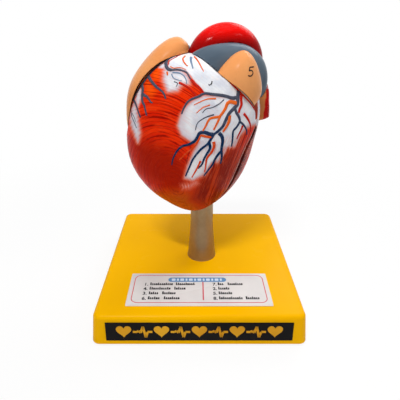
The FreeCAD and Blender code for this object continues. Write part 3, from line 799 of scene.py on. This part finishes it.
def frontLayers(points, ahead):  # how much of each paint lies at each point of the cover
    look, none, seen = strandLook, np.zeros(len(points)), toView(points)
    column, row = seen.T
    leftSide = insideOutline(seen, *leftSideFront)
    middle = look["fanColumn"] + look["fanLean"] * (row - look["leanRow"])
    sideways = (column - middle) * look["squeeze"]
    across = np.hypot(sideways, row - look["fanRow"])
    along = np.arctan2(row - look["fanRow"], sideways) * look["turn"]
    slant, tilt = look["leftSlant"]
    # painted shade low on the front
    deep = insideOutline(seen, *underShadeFront)
    # painted light bounced up from the yellow base, low on the front
    low = smoothStep(row, *fades["frontLow"]) * (1 - leftSide)
    return {
        "across": blendTo(across, slant * column + tilt * row, leftSide),
        "along": blendTo(along, slant * row - tilt * column, leftSide),
        "fat": strongest(seen, fatFront),
        "torn": np.maximum(tornBy(seen, fatFront), leftSide * smoothStep(row, *fades["frontTorn"])),
        # painted highlight
        "glow": strongest(seen, highlightFront),
        "deep": deep,
        "low": low,
        "brown": leftSide * smoothStep(row, *fades["frontBrown"]) * 0.8,
        "haze": insideOutline(seen, *hazeFront),
        "peach": insideOutline(seen, *peachFront),
        # painted highlight along the cover's edge
        "edgeHighlight": (smoothStep(ahead, *fades["splitHighlight"]) * smoothStep(row, *fades["frontPale"])
                     * leftSide * 0.9),
        "groove": none,
        "darkRim": none,
        "calm": 1 - np.max([0.75 * deep, 3.6 * leftSide * (1 - leftSide), 0.6 * low], axis=0),
    }


def rearLayers(points, ahead):  # the same for the rear wall, most of it by x and z in millimetres
    look, none, seen = strandLook, np.zeros(len(points)), toView(points)
    x, y, z = points.T / mm
    flat = np.stack([x, z], axis=1)
    edge = smoothStep(ahead, *fades["splitEdge"]) * smoothStep(x, *fades["rearEdge"])
    across = z - look["behindFoot"] + look["behindSlope"] * np.abs(x + 4)
    slant, tilt = look["edgeSlant"]
    # painted shade, darker towards the bottom
    deep = smoothStep(z, *fades["rearDeep"]) * 0.6
    seam = insideOutline(seen, *seamBehind)
    return {
        "across": blendTo(across, slant * x + tilt * z, edge),
        "along": x * look["behindStretch"] + np.sign(x + 0.1 * (z - 140)) * look["behindShift"],
        "fat": np.maximum(strongest(flat, fatBehind) * smoothStep(y, *fades["rearFat"]),
                          strongest(seen, sideFat) * smoothStep(y, *fades["sideFat"])),
        "torn": none + 0.8,
        "glow": none,
        "deep": deep,
        # painted light bounced up from the yellow base, low behind
        "low": smoothStep(z, *fades["rearLow"]),
        "brown": np.maximum(edge * 0.95, smoothStep(x, *fades["rearBrown"]) * 0.35),
        "haze": none,
        "peach": none,
        "edgeHighlight": none,
        # painted shadow in the seam and on the rear rim beside it
        "groove": smoothStep(ahead, *fades["splitShadow"]) * seam,
        "darkRim": seam,
        "calm": 1 - 0.75 * deep,
    }


def paintedWall(node, newName, body, middle, rimWay, layersOf):
    # faces that look towards middle are inside, and the flat rim looks ahead, 1, or back, -1
    look = wallLook
    wall = copyNode(newName, node)
    useModifier(wall, "REMESH", mode="VOXEL", voxel_size=look["voxel"] * mm, use_smooth_shade=True)
    points, normals = pointsOf(wall), normalsOf(wall)
    ahead = splitDistance(points)
    lean = math.radians(look["splitAngle"])
    forward = np.array([-math.sin(lean), -math.cos(lean), 0.0])
    rim = (np.abs(ahead) < 0.5) & (normals @ forward * rimWay > 0.6)
    points[rim] -= (ahead[rim] * mm)[:, None] * forward

    inwards = ((points - np.array(middle) * mm) * normals).sum(1) < 0
    chamber = meetsItself(wall, points, normals, look["chamberReach"] * mm)
    inner = blurAlongMesh(wall, (np.maximum(inwards, chamber) * ~rim).astype(float), 2)
    outer = (1 - inner) * (1 - rim)

    layers = layersOf(points, ahead)
    ridge = ridgeHeights(points)
    fade = smoothStep(np.abs(ahead), *fades["splitRelief"])
    lift = inner * fade * np.clip(ridge, 0, 1) * look["trabecula"]
    bundles = (strandHeights(layers["across"], layers["along"]) - 0.35) * look["bundle"]
    lift += outer * fade * bundles * (1 - layers["fat"])
    movePoints(wall, points + normals * (lift * mm)[:, None])

    layers.update(fat=layers["fat"] * outer, peach=layers["peach"] * outer,
                  darkRim=layers["darkRim"] * rim, inner=inner, rim=rim, ridge=ridge,
                  leftInside=smoothStep(points[:, 0] / mm, *fades["leftChamber"]))
    for name, values in layers.items():
        setLayer(wall, name, values)
    finishPiece(wall, body, wallPaint(newName + "Paint"), replaces=[node])
    print("stage:", newName, len(wall.data.polygons), "faces")
    return wall


def wallPaint(name):
    look = wallLook
    recipe = Recipe(name)
    place, layer, ramp, times = recipe.place(), recipe.layer, recipe.ramp, recipe.times
    across, along = layer("across"), layer("along")

    def strands(wide, long, shift, roughness):
        vector = recipe.add("CombineXYZ", {0: times(across, wide), 1: times(along, long), 2: shift})
        return recipe.noise(vector.outputs[0], 1.0, 3.0, roughness)

    broad, hair = strands(0.16, 0.030, 0.0, 0.55), strands(1.9, 0.070, 9.0, 0.6)
    flow = recipe.add("CombineXYZ", {0: across, 1: times(along, 0.12)}).outputs[0]
    thin = recipe.add("TexWave", {"Vector": flow, "Scale": 0.085, "Distortion": 5.0, "Detail": 3.0,
                                  "Detail Scale": 3.2, "Detail Roughness": 0.6}).outputs["Fac"]
    calm = layer("calm")
    patchy = times(ramp(broad, 0.36, 0.60, 0.15, 1.0), calm)
    tone = recipe.coats(
        look["bright"],
        (ramp(broad, 0.35, 0.65), look["full"]),
        # painted highlight on the muscle's bulge
        (layer("glow"), look["glow"]),
        # painted shade
        (times(layer("deep"), 0.92), look["deep"]),
        # painted light bounced up from the base
        (layer("low"), look["low"]),
        (layer("brown"), recipe.mix(ramp(broad, 0.42, 0.58), look["brownDark"], look["brown"])),
        (times(ramp(thin, 0.34, 0.06, 0.0, 0.8), patchy), look["darkLine"]),
        (times(ramp(hair, 0.58, 0.70, 0.0, 0.4), calm), look["paleLine"]))

    # fat, its edge torn into strands
    feather = times(recipe.sum("SUBTRACT", hair, 0.5), 2.0)
    wisps = times(recipe.sum("SUBTRACT", thin, 0.5), 0.3)
    torn = times(layer("torn"), recipe.edgeOf(layer("fat")))
    mask = recipe.sum("ADD", layer("fat"), times(recipe.sum("ADD", feather, wisps), torn))
    white = recipe.coats(
        look["fat"],
        (ramp(recipe.noise(place, 90.0, 4.0), 0.4, 0.7), look["fatShade"]),
        (ramp(recipe.noise(place, 230.0), 0.55, 0.75, 0.0, 0.5), look["fatWarm"]),
        (times(layer("haze"), 0.55), look["lilac"]))
    threads = times(ramp(hair, 0.50, 0.64, 0.0, 0.8), layer("torn"))
    threads = times(threads, ramp(layer("fat"), 0.0, 0.6, 0.12, 1.0))

    # the chambers and the flat rim
    flesh = recipe.coats(
        look["rightInside"],
        (layer("leftInside"), look["leftInside"]),
        # painted shade in the hollows between the ridges
        (ramp(layer("ridge"), 0.75, 0.25, 0.0, 0.75), look["hollowShade"]),
        (ramp(recipe.noise(place, 240.0), 0.5, 0.75, 0.0, 0.2), look["rimPale"]))
    grain = recipe.noise(place, 130.0, 2.0)
    cut = recipe.mix(ramp(grain, 0.3, 0.75, 0.0, 0.5), look["rim"], look["rimPale"])

    tone = recipe.coats(
        tone,
        (ramp(mask, 0.05, 0.50), look["blush"]),
        (ramp(mask, 0.25, 0.70), look["lilac"]),
        (ramp(mask, 0.42, 0.95), white),
        (threads, look["thread"]),
        (layer("peach"), partLook["peach"]["colour"]),
        # painted shadow in the seam
        (layer("groove"), look["groove"]),
        # painted highlight
        (layer("edgeHighlight"), look["edgeHighlight"]),
        (layer("inner"), flesh),
        (layer("rim"), cut),
        (layer("darkRim"), look["groove"]))
    rough = ramp(hair, 0.3, 0.7, look["roughness"] * 0.85, look["roughness"] * 1.3)
    relief = recipe.bump(recipe.sum("ADD", thin, hair), 0.22, 0.25 * mm)
    return recipe.surface(tone, rough, relief, gloss)


# coronary vessels, painted in low relief
vesselLook = {
    "flatten": 0.36, "lift": 0.10, "step": 0.8, "roundness": 3, "shading": 80,
    # colours above and below a height in millimetres
    "paints": {
        "vein": ((74, 78, 94), (4, 44, 84), 146),
        "artery": ((234, 106, 40), (216, 62, 20), 140),
        "redArtery": ((198, 34, 20), (170, 28, 14), 140),
        "smallVein": ((120, 140, 168), (100, 130, 160), 120),
    },
}
routesFront = {
    # widths in millimetres at the start and the end, then the view places
    "vein": [
        (1.0, 2.2, [(184.4, 52.8), (178, 55), (170.7, 58.2), (165, 60.8), (159.6, 64.2),
                    (154, 69.2)]),
        (2.2, 1.3, [(154, 69.2), (148.4, 75.4), (144.6, 81), (141.8, 84.2), (138.4, 89.6),
                    (135.1, 95.4), (133.8, 99.6), (135.4, 103), (136.8, 107), (139, 113.6),
                    (140.6, 117.4)]),
        (2.6, 1.9, [(166.8, 60.6), (166, 64), (166.8, 67.4), (168.8, 69.4), (171.8, 70.2)]),
        (1.3, 0.9, [(171.8, 70.2), (177.3, 69.7), (182.9, 70.8), (186.8, 72.8), (189.5, 77.2),
                    (191.8, 81)]),
        (2.3, 1.0, [(148.7, 76.7), (151.8, 81.7), (156.2, 86.7), (161.2, 90.6), (164, 93.9),
                    (165.7, 98.9)]),
        (2.4, 1.2, [(142, 84.2), (142.9, 89.4), (142.3, 95), (142.4, 101.4), (144.4, 105.4),
                    (145.2, 109.4), (146.8, 115.6)]),
        (2.1, 0.9, [(143.4, 94.6), (147.6, 97.4), (150.4, 101.6), (152.6, 103)]),
        (0.9, 0.6, [(131.2, 110.6), (131.8, 116), (134.6, 122.8), (136.6, 128)]),
        (0.7, 0.5, [(132.2, 113), (134.6, 118), (135.6, 122)]),
        (2.7, 1.7, [(238.4, 91), (237.8, 97), (237.6, 101), (237.2, 104.6), (233.6, 108.6),
                    (229, 113.6), (226.2, 119), (222.7, 126.4), (218.2, 131), (213.6, 134.5)]),
        (2.0, 1.0, [(213.6, 134.5), (210.9, 139), (207.3, 144.3), (200.6, 149.6), (193.4, 158.6),
                    (189.3, 167.4), (185.5, 176.2)]),
        (2.2, 1.0, [(237.4, 97.4), (231.8, 98), (224.3, 95.8), (213.6, 94.4), (204.4, 93.4),
                    (199, 96.3), (193, 98.6), (188, 101.6), (185, 106), (183, 110), (181.5, 114)]),
        (2.0, 1.3, [(235, 108.6), (236.4, 112.7), (239, 117.3), (239.5, 121.8), (236.4, 127.3),
                    (233.2, 131), (232.7, 136.4), (232.3, 141), (231.4, 146.4)]),
        (1.5, 1.0, [(240, 121.8), (243.6, 125), (246.4, 130), (246.8, 134.5)]),
        (2.6, 0.8, [(213.6, 134.5), (209, 133.8), (204.5, 132.4), (199.6, 133.2), (195.6, 140),
                    (189.4, 144.2), (181.8, 146.4), (176.8, 151.4), (173, 158.8), (171.8, 165)]),
        (2.5, 1.4, [(219, 133), (221.8, 136.4), (222.7, 141), (221.8, 146.4), (221.4, 151),
                    (221.8, 157), (220.4, 163.6)]),
        (2.2, 1.1, [(221.4, 151), (218, 154.6), (214.5, 160), (212.4, 164.6), (208.2, 170),
                    (204, 175.5)]),
        (2.1, 1.1, [(209.2, 142.6), (210, 148.2), (206.4, 154.5), (204, 159), (201.8, 164.5),
                    (198, 168.4)]),
        (0.8, 0.5, [(214, 114.6), (207, 116.8), (201, 120), (197, 124), (195.4, 130)]),
        (0.7, 0.4, [(224, 99.6), (219, 104), (212, 107.6), (206, 109), (202.4, 113)]),
        (0.7, 0.4, [(174, 81.6), (177.6, 83.4), (176, 87)]),
    ],
    "artery": [
        (2.5, 1.1, [(236.4, 103.2), (230.4, 101.8), (227.3, 103.6), (225.5, 108.2), (222.7, 112.7),
                    (220, 116.4), (218.2, 121), (213.6, 130)]),
        (1.7, 1.1, [(220, 116.6), (211, 118.2), (208.2, 121), (205.5, 126.4), (202.7, 131)]),
        (2.4, 1.5, [(229.4, 115.5), (229, 121), (226.6, 126.4), (222.9, 131.8)]),
        (1.7, 1.0, [(211.8, 137.4), (205.5, 136.5), (200.5, 135.8), (198, 141), (193, 147.6),
                    (185.5, 153.8), (179.4, 160)]),
        (2.2, 0.9, [(213.6, 141.8), (214, 146.4), (211.8, 151.8), (208.2, 156.4), (206.4, 160),
                    (205.5, 167.3), (204.5, 171.8)]),
        (1.5, 0.8, [(200.5, 161), (196.8, 168.8), (191.8, 177.5)]),
        (1.0, 0.5, [(216, 98.6), (208, 99), (202, 101), (194, 105)]),
        (0.8, 0.5, [(210, 105), (203, 107.6), (196.4, 113)]),
        (1.2, 0.7, [(185.4, 56), (183.2, 58), (183.2, 60.6), (185, 63.6), (187.6, 66.2)]),
        (1.2, 0.6, [(194.2, 56.6), (197, 59.6), (200, 64.6), (203.6, 71.6)]),
        (1.4, 0.9, [(167.2, 71.8), (167.6, 75.4)]),
        (0.7, 0.4, [(170.4, 66.6), (174, 68.2), (180, 67.6), (186, 69.6)]),
    ],
    "redArtery": [
        (2.5, 1.6, [(241.2, 94), (241, 100), (241.4, 104.5), (239.2, 110), (239, 112.7)]),
        (1.9, 1.1, [(243.8, 113.6), (247.5, 118.6), (250, 124), (250.6, 131)]),
        (1.8, 1.1, [(242.7, 125.5), (241, 130), (238.2, 135.5), (236.8, 139)]),
        (1.3, 1.0, [(227.6, 80.4), (236.4, 88.6), (245, 97.4), (251, 104), (254.6, 110)]),
        (1.0, 0.5, [(190.8, 148), (188, 156), (186.4, 163.6)]),
        (0.9, 0.7, [(181.6, 54.6), (175, 57.6), (169.6, 61), (168.6, 64.6)]),
        (1.7, 1.2, [(190.8, 79.6), (195, 84.4), (198.4, 86.7), (201.8, 90.5), (203.4, 93.3)]),
        (1.5, 1.0, [(179, 82.6), (185, 85.4), (190.6, 89.6), (195.6, 95.4)]),
    ],
    "smallVein": [
        (1.6, 0.7, [(191, 57), (191, 61), (192, 65), (193, 68.6)]),
        (1.0, 0.5, [(172.6, 72.4), (179, 73), (183.6, 75.6), (186, 79.6), (186.6, 84)]),
        (0.8, 0.4, [(171.6, 74), (173.6, 78), (178, 80), (182, 81)]),
    ],
}
routesBehind = {
    # the same, from behind, by x and z in millimetres
    "vein": [
        (3.4, 2.4, [(41, 139), (30, 134.5), (16, 132.5), (2, 133.5), (-10, 135)]),
        (2.4, 1.0, [(-10, 134), (-9, 122), (-5, 108), (0, 95), (4, 84), (5.5, 77)]),
        (1.8, 0.8, [(18, 132.5), (21, 122), (19, 111), (22, 100), (19.5, 92)]),
        (1.1, 0.6, [(20.3, 117), (27, 108), (28, 99)]),
        (1.1, 0.6, [(-5.5, 109), (3, 101), (8, 93)]),
        (1.5, 0.8, [(-14, 134), (-22, 126), (-31, 118), (-36, 108)]),
    ],
    "artery": [
        (2.0, 0.9, [(-13.5, 134), (-12.5, 122), (-8.6, 108), (-3.2, 95), (1.4, 84), (3.2, 77)]),
        (1.6, 0.8, [(38, 136), (30, 131), (27, 120), (31, 110), (30, 101)]),
        (1.2, 0.7, [(10, 131), (9, 120), (12.5, 109), (10.5, 99)]),
        (1.1, 0.6, [(-12, 119), (-20, 111), (-26, 101)]),
        (0.9, 0.5, [(-7.5, 105), (-13, 96), (-14, 88)]),
    ],
}


def smoothRoute(route, step):  # points through the route's own points, on a Catmull-Rom curve
    corners = [np.array(p, float) for p in route]
    ends = [2 * corners[0] - corners[1]] + corners + [2 * corners[-1] - corners[-2]]
    found = []
    for a, b, c, d in zip(ends, ends[1:], ends[2:], ends[3:]):
        count = max(2, int(np.linalg.norm(c - b) / step))
        for i in range(count):
            t = i / count
            found.append(0.5 * ((2 * b) + (c - a) * t + (2 * a - 5 * b + 4 * c - d) * t ** 2
                                + (3 * b - a - 3 * c + d) * t ** 3))
    return found + [corners[-1]]


def vesselOn(tree, cast, startWidth, endWidth, route):
    # a tube along the route, pressed down to low relief on the surface under it
    look = vesselLook
    spots = [cast(tree, *spot) for spot in smoothRoute(route, look["step"])]
    spots = [spot for spot in spots if spot is not None]
    bpy.ops.curve.primitive_nurbs_path_add()
    curve = bpy.context.object
    line = curve.data.splines[0]
    line.points.add(len(spots) - len(line.points))
    for i, spot in enumerate(spots):
        line.points[i].co = (*spot, 1)
        line.points[i].radius = blendTo(startWidth, endWidth, i / (len(spots) - 1)) / 2
    line.order_u = 3
    line.use_endpoint_u = True
    line.resolution_u = 2
    curve.data.bevel_depth = mm
    curve.data.bevel_resolution = look["roundness"]
    curve.data.use_fill_caps = True
    pick(curve)
    bpy.ops.object.convert(target="MESH")
    tube = bpy.context.object
    points = pointsOf(tube)
    for i, point in enumerate(points):
        place, normal, _, _ = tree.find_nearest(Vector(point))
        height = (Vector(point) - place).dot(normal)
        points[i] = place + normal * (height * look["flatten"] + look["lift"] * mm)
    movePoints(tube, points)
    return tube


def vesselPaint(name, upper, lower, change):  # one colour above, another below a height
    recipe = Recipe(name)
    height = recipe.ramp(recipe.placeAlong(2), change * mm + 0.012, change * mm - 0.012)
    streak = recipe.noise(recipe.place(), 700.0)
    tone = recipe.coats(upper, (height, lower),
                        (recipe.ramp(streak, 0.5, 0.78, 0.0, 0.4), paler(upper, 0.3)))
    return recipe.surface(tone, 0.3, recipe.bump(streak, 0.2, 0.1 * mm), gloss)


def makeVessels(front, rear):
    paints = {kind: vesselPaint(kind + "Paint", *look)
              for kind, look in vesselLook["paints"].items()}
    for wall, routes, cast, body, side in ((front, routesFront, fromView, "front_cover", "Front"),
                                           (rear, routesBehind, fromBehind, "heart", "Behind")):
        tree = treeOf(wall)
        for kind, group in routes.items():
            vessels = joinPieces(kind + side, [vesselOn(tree, cast, *row) for row in group])
            shadeByAngle(vessels, vesselLook["shading"])
            finishPiece(vessels, body, paints[kind])


# atria, great vessels and the parts inside
partLook = {
    # the aorta's under colour is painted shade, below the bright top of the arch
    "aorta": {"colour": (242, 14, 8), "shade": (214, 8, 6), "under": (138, 6, 6), "roughness": 0.13,
              "shine": 0.035, "paintedShadeTop": (0.189, 0.201), "paintedShadeFoot": (0.168, 0.182)},
    "trunk": {"colour": (102, 118, 132), "shade": (78, 92, 106), "roughness": 0.16, "shine": 0.04},
    # the peach brown is painted shade, towards the right end of the left atrium
    "peach": {"colour": (238, 164, 102), "shade": (228, 146, 84), "brown": (168, 96, 52),
              "roughness": 0.24, "shine": 0.05, "paintedShadeFrom": (0.039, 0.0455),
              "redFrom": (0.0462, 0.0470)},
    "veinRed": {"colour": (206, 26, 16), "shade": (176, 18, 14), "roughness": 0.22},
    "valve": {"colour": (236, 230, 214), "shade": (222, 208, 186), "roughness": 0.34},
    "papillary": {"colour": (186, 58, 48), "shade": (150, 40, 36), "roughness": 0.34},
    "cord": {"colour": (240, 234, 220), "shade": (224, 214, 196), "roughness": 0.4},
    "ink": {"colour": (38, 34, 40), "shade": (24, 22, 26), "roughness": 0.3},
}
heartParts = (  # slot, look, nodes
    ("artery_red", "aorta", ("aorta",)),
    ("trunk_grey_blue", "trunk", ("pulmonary_trunk", "superior_vena_cava", "inferior_vena_cava",
                                  "right_pulmonary_artery")),
    ("atrium_peach", "peach", ("right_atrium", "left_auricle")),
    ("atrium_peach", "leftAtrium", ("left_atrium",)),
    ("vein_red", "veinRed", ("left_pulmonary_veins", "right_upper_vein", "right_lower_vein")),
    ("valve_white", "valve", ("tricuspid_valve", "mitral_valve", "aortic_valve",
                              "pulmonary_valve")),
    ("muscle_red", "papillary", ("papillary_right_outer", "papillary_right_inner",
                                 "papillary_left_inner", "papillary_left_outer")),
    ("valve_white", "cord", ("chordae_right", "chordae_left")),
)


def aortaPaint():  # painted shade: darker round the arch, below its bright top
    look = partLook["aorta"]
    recipe = Recipe("aortaPaint")
    place, height = recipe.place(), recipe.placeAlong(2)
    # how much painted shade lies at each height
    below = recipe.times(recipe.ramp(height, *look["paintedShadeTop"], 0.9, 0.0),
                         recipe.ramp(height, *look["paintedShadeFoot"]))
    return recipe.surface(recipe.mix(below, recipe.cloudy(place, look), look["under"]),
                          look["roughness"], recipe.softPeel(place), look["shine"])


def atriumPaint():  # peach over most of it, painted shade browning it towards the veins, then red at their mouth
    look = partLook["peach"]
    recipe = Recipe("atriumPaint")
    place, across = recipe.place(), recipe.placeAlong(0)
    wave = recipe.times(recipe.sum("SUBTRACT", recipe.noise(place, 130.0, 2.0), 0.5), 0.004)
    tone = recipe.coats(
        recipe.cloudy(place, look),
        # painted shade, browner towards the veins
        (recipe.ramp(across, *look["paintedShadeFrom"], 0.0, 0.7), look["brown"]),
        (recipe.ramp(recipe.sum("ADD", across, wave), *look["redFrom"]),
         partLook["veinRed"]["shade"]))
    marks = recipe.noise(place, 700.0, 4.0)
    return recipe.surface(tone, recipe.ramp(marks, 0.2, 0.8, 0.22, 0.32),
                          recipe.bump(marks, 0.08, 0.1 * mm), gloss)


def partPaint(name):
    own = {"aorta": aortaPaint, "leftAtrium": atriumPaint}
    return own[name]() if name in own else lacquered(name + "Lacquer", partLook[name])


def makeHeart():
    front = paintedWall("front_wall", "frontWall", "front_cover", (0, -8, 128), -1, frontLayers)
    rear = paintedWall("rear_wall", "rearWall", "heart", (0, 0, 128), 1, rearLayers)
    makeVessels(front, rear)
    made = {}
    for slot, look, names in heartParts:
        material = partPaint(look)
        for node in names:
            made[node] = dressedCopy(node, "heart", material, 50)
    ink = partPaint("ink")
    makeMark("auricleMark", made["left_auricle"], "heart", ink)
    makeMark("frontMark", front, "front_cover", ink)


# hand-painted marks: a plain 5 on the auricle and a small stroke on the fat
markRoutes = {
    "auricleMark": (0.75, 0.7, [(253.6, 66.8), (251.9, 67.0), (250.5, 67.2), (249.7, 67.4),
                                (249.5, 68.6), (249.3, 70.0), (249.2, 71.0), (250.3, 70.4),
                                (251.7, 70.6), (252.7, 71.8), (252.7, 73.8), (251.6, 75.5),
                                (249.9, 76.2), (248.2, 75.5)]),
    "frontMark": (0.7, 0.5, [(211.9, 81.2), (211.8, 83), (210.6, 84.5), (209.1, 85),
                             (208.3, 84.2)]),
}


def makeMark(name, piece, body, ink):
    mark = vesselOn(treeOf(piece), fromView, *markRoutes[name])
    mark.name = name
    shadeByAngle(mark, vesselLook["shading"])
    finishPiece(mark, body, ink)


makeHeart()
print("stage: heart")


# stage
lamps = {  # places and sizes in metres
    "key": {"place": (-0.16, -0.42, 0.80), "size": (0.20, 0.05), "power": 3.8,
            "colour": (1.0, 0.99, 0.97)},
    "side": {"place": (0.55, -0.30, 0.60), "size": (0.16, 0.08), "power": 0.4,
             "colour": (0.97, 0.98, 1.0)},
    "top": {"place": (0.05, -0.02, 0.90), "size": (0.75, 0.65), "power": 3.3,
            "colour": (1.0, 1.0, 1.0)},
    "back": {"place": (0.42, 0.48, 0.62), "size": (0.50, 0.40), "power": 2.4,
             "colour": (1.0, 1.0, 1.0)},
}


def makeLamps():
    aim = (cadLow + cadHigh) / 2
    for name, lamp in lamps.items():
        turn = (aim - Vector(lamp["place"])).to_track_quat("-Z", "Y").to_euler()
        bpy.ops.object.light_add(type="AREA", location=lamp["place"], rotation=turn)
        light = bpy.context.object
        light.name = name + "Lamp"
        light.data.shape = "RECTANGLE"
        light.data.size, light.data.size_y = lamp["size"]
        light.data.energy = lamp["power"]
        light.data.color = lamp["colour"]


floorLook = {
    "size": 6.0,
    "colour": (0.92, 0.92, 0.92, 1),
    "glowFrom": 0.12, "glowTo": 0.42,     # metres from the middle
    "glow": (0.86, 1.0),                  # how white the eye sees it there
}


def seenDirectly(recipe):  # 1 for the camera, and for what gloss and glass show
    path = recipe.add("LightPath").outputs
    either = recipe.sum("MAXIMUM", path["Is Camera Ray"], path["Is Glossy Ray"])
    return recipe.sum("MAXIMUM", either, path["Is Transmission Ray"])


def makeFloor():
    look = floorLook
    bpy.ops.mesh.primitive_plane_add(size=look["size"], location=(0, 0, 0))
    floor = bpy.context.object
    floor.name = "floor"
    recipe = Recipe("floorPaper")
    paper = recipe.add("BsdfDiffuse", {"Color": look["colour"]}).outputs[0]
    white = recipe.add("Emission", {"Color": (1, 1, 1, 1), "Strength": 1.0}).outputs[0]
    away = recipe.add("VectorMath", {0: recipe.place()}, operation="LENGTH").outputs["Value"]
    share = recipe.times(seenDirectly(recipe),
                         recipe.ramp(away, look["glowFrom"], look["glowTo"], *look["glow"]))
    both = recipe.add("MixShader", {0: share, 1: paper, 2: white})
    floor.data.materials.append(recipe.output("Material", both))


worldLook = {"Color": (0.95, 0.97, 1.0, 1), "Strength": 0.13}


def makeWorld():
    world = bpy.data.worlds.new("studio")
    bpy.context.scene.world = world
    recipe = Recipe(world)
    soft = recipe.add("Background", worldLook).outputs[0]
    white = recipe.add("Background", {"Color": (1, 1, 1, 1), "Strength": 1.0}).outputs[0]
    both = recipe.add("MixShader", {0: seenDirectly(recipe), 1: soft, 2: white})
    recipe.output("World", both)


makeCamera()
makeLamps()
makeFloor()
makeWorld()
bpy.context.scene.view_settings.view_transform = "Standard"
print("stage: lights and camera")
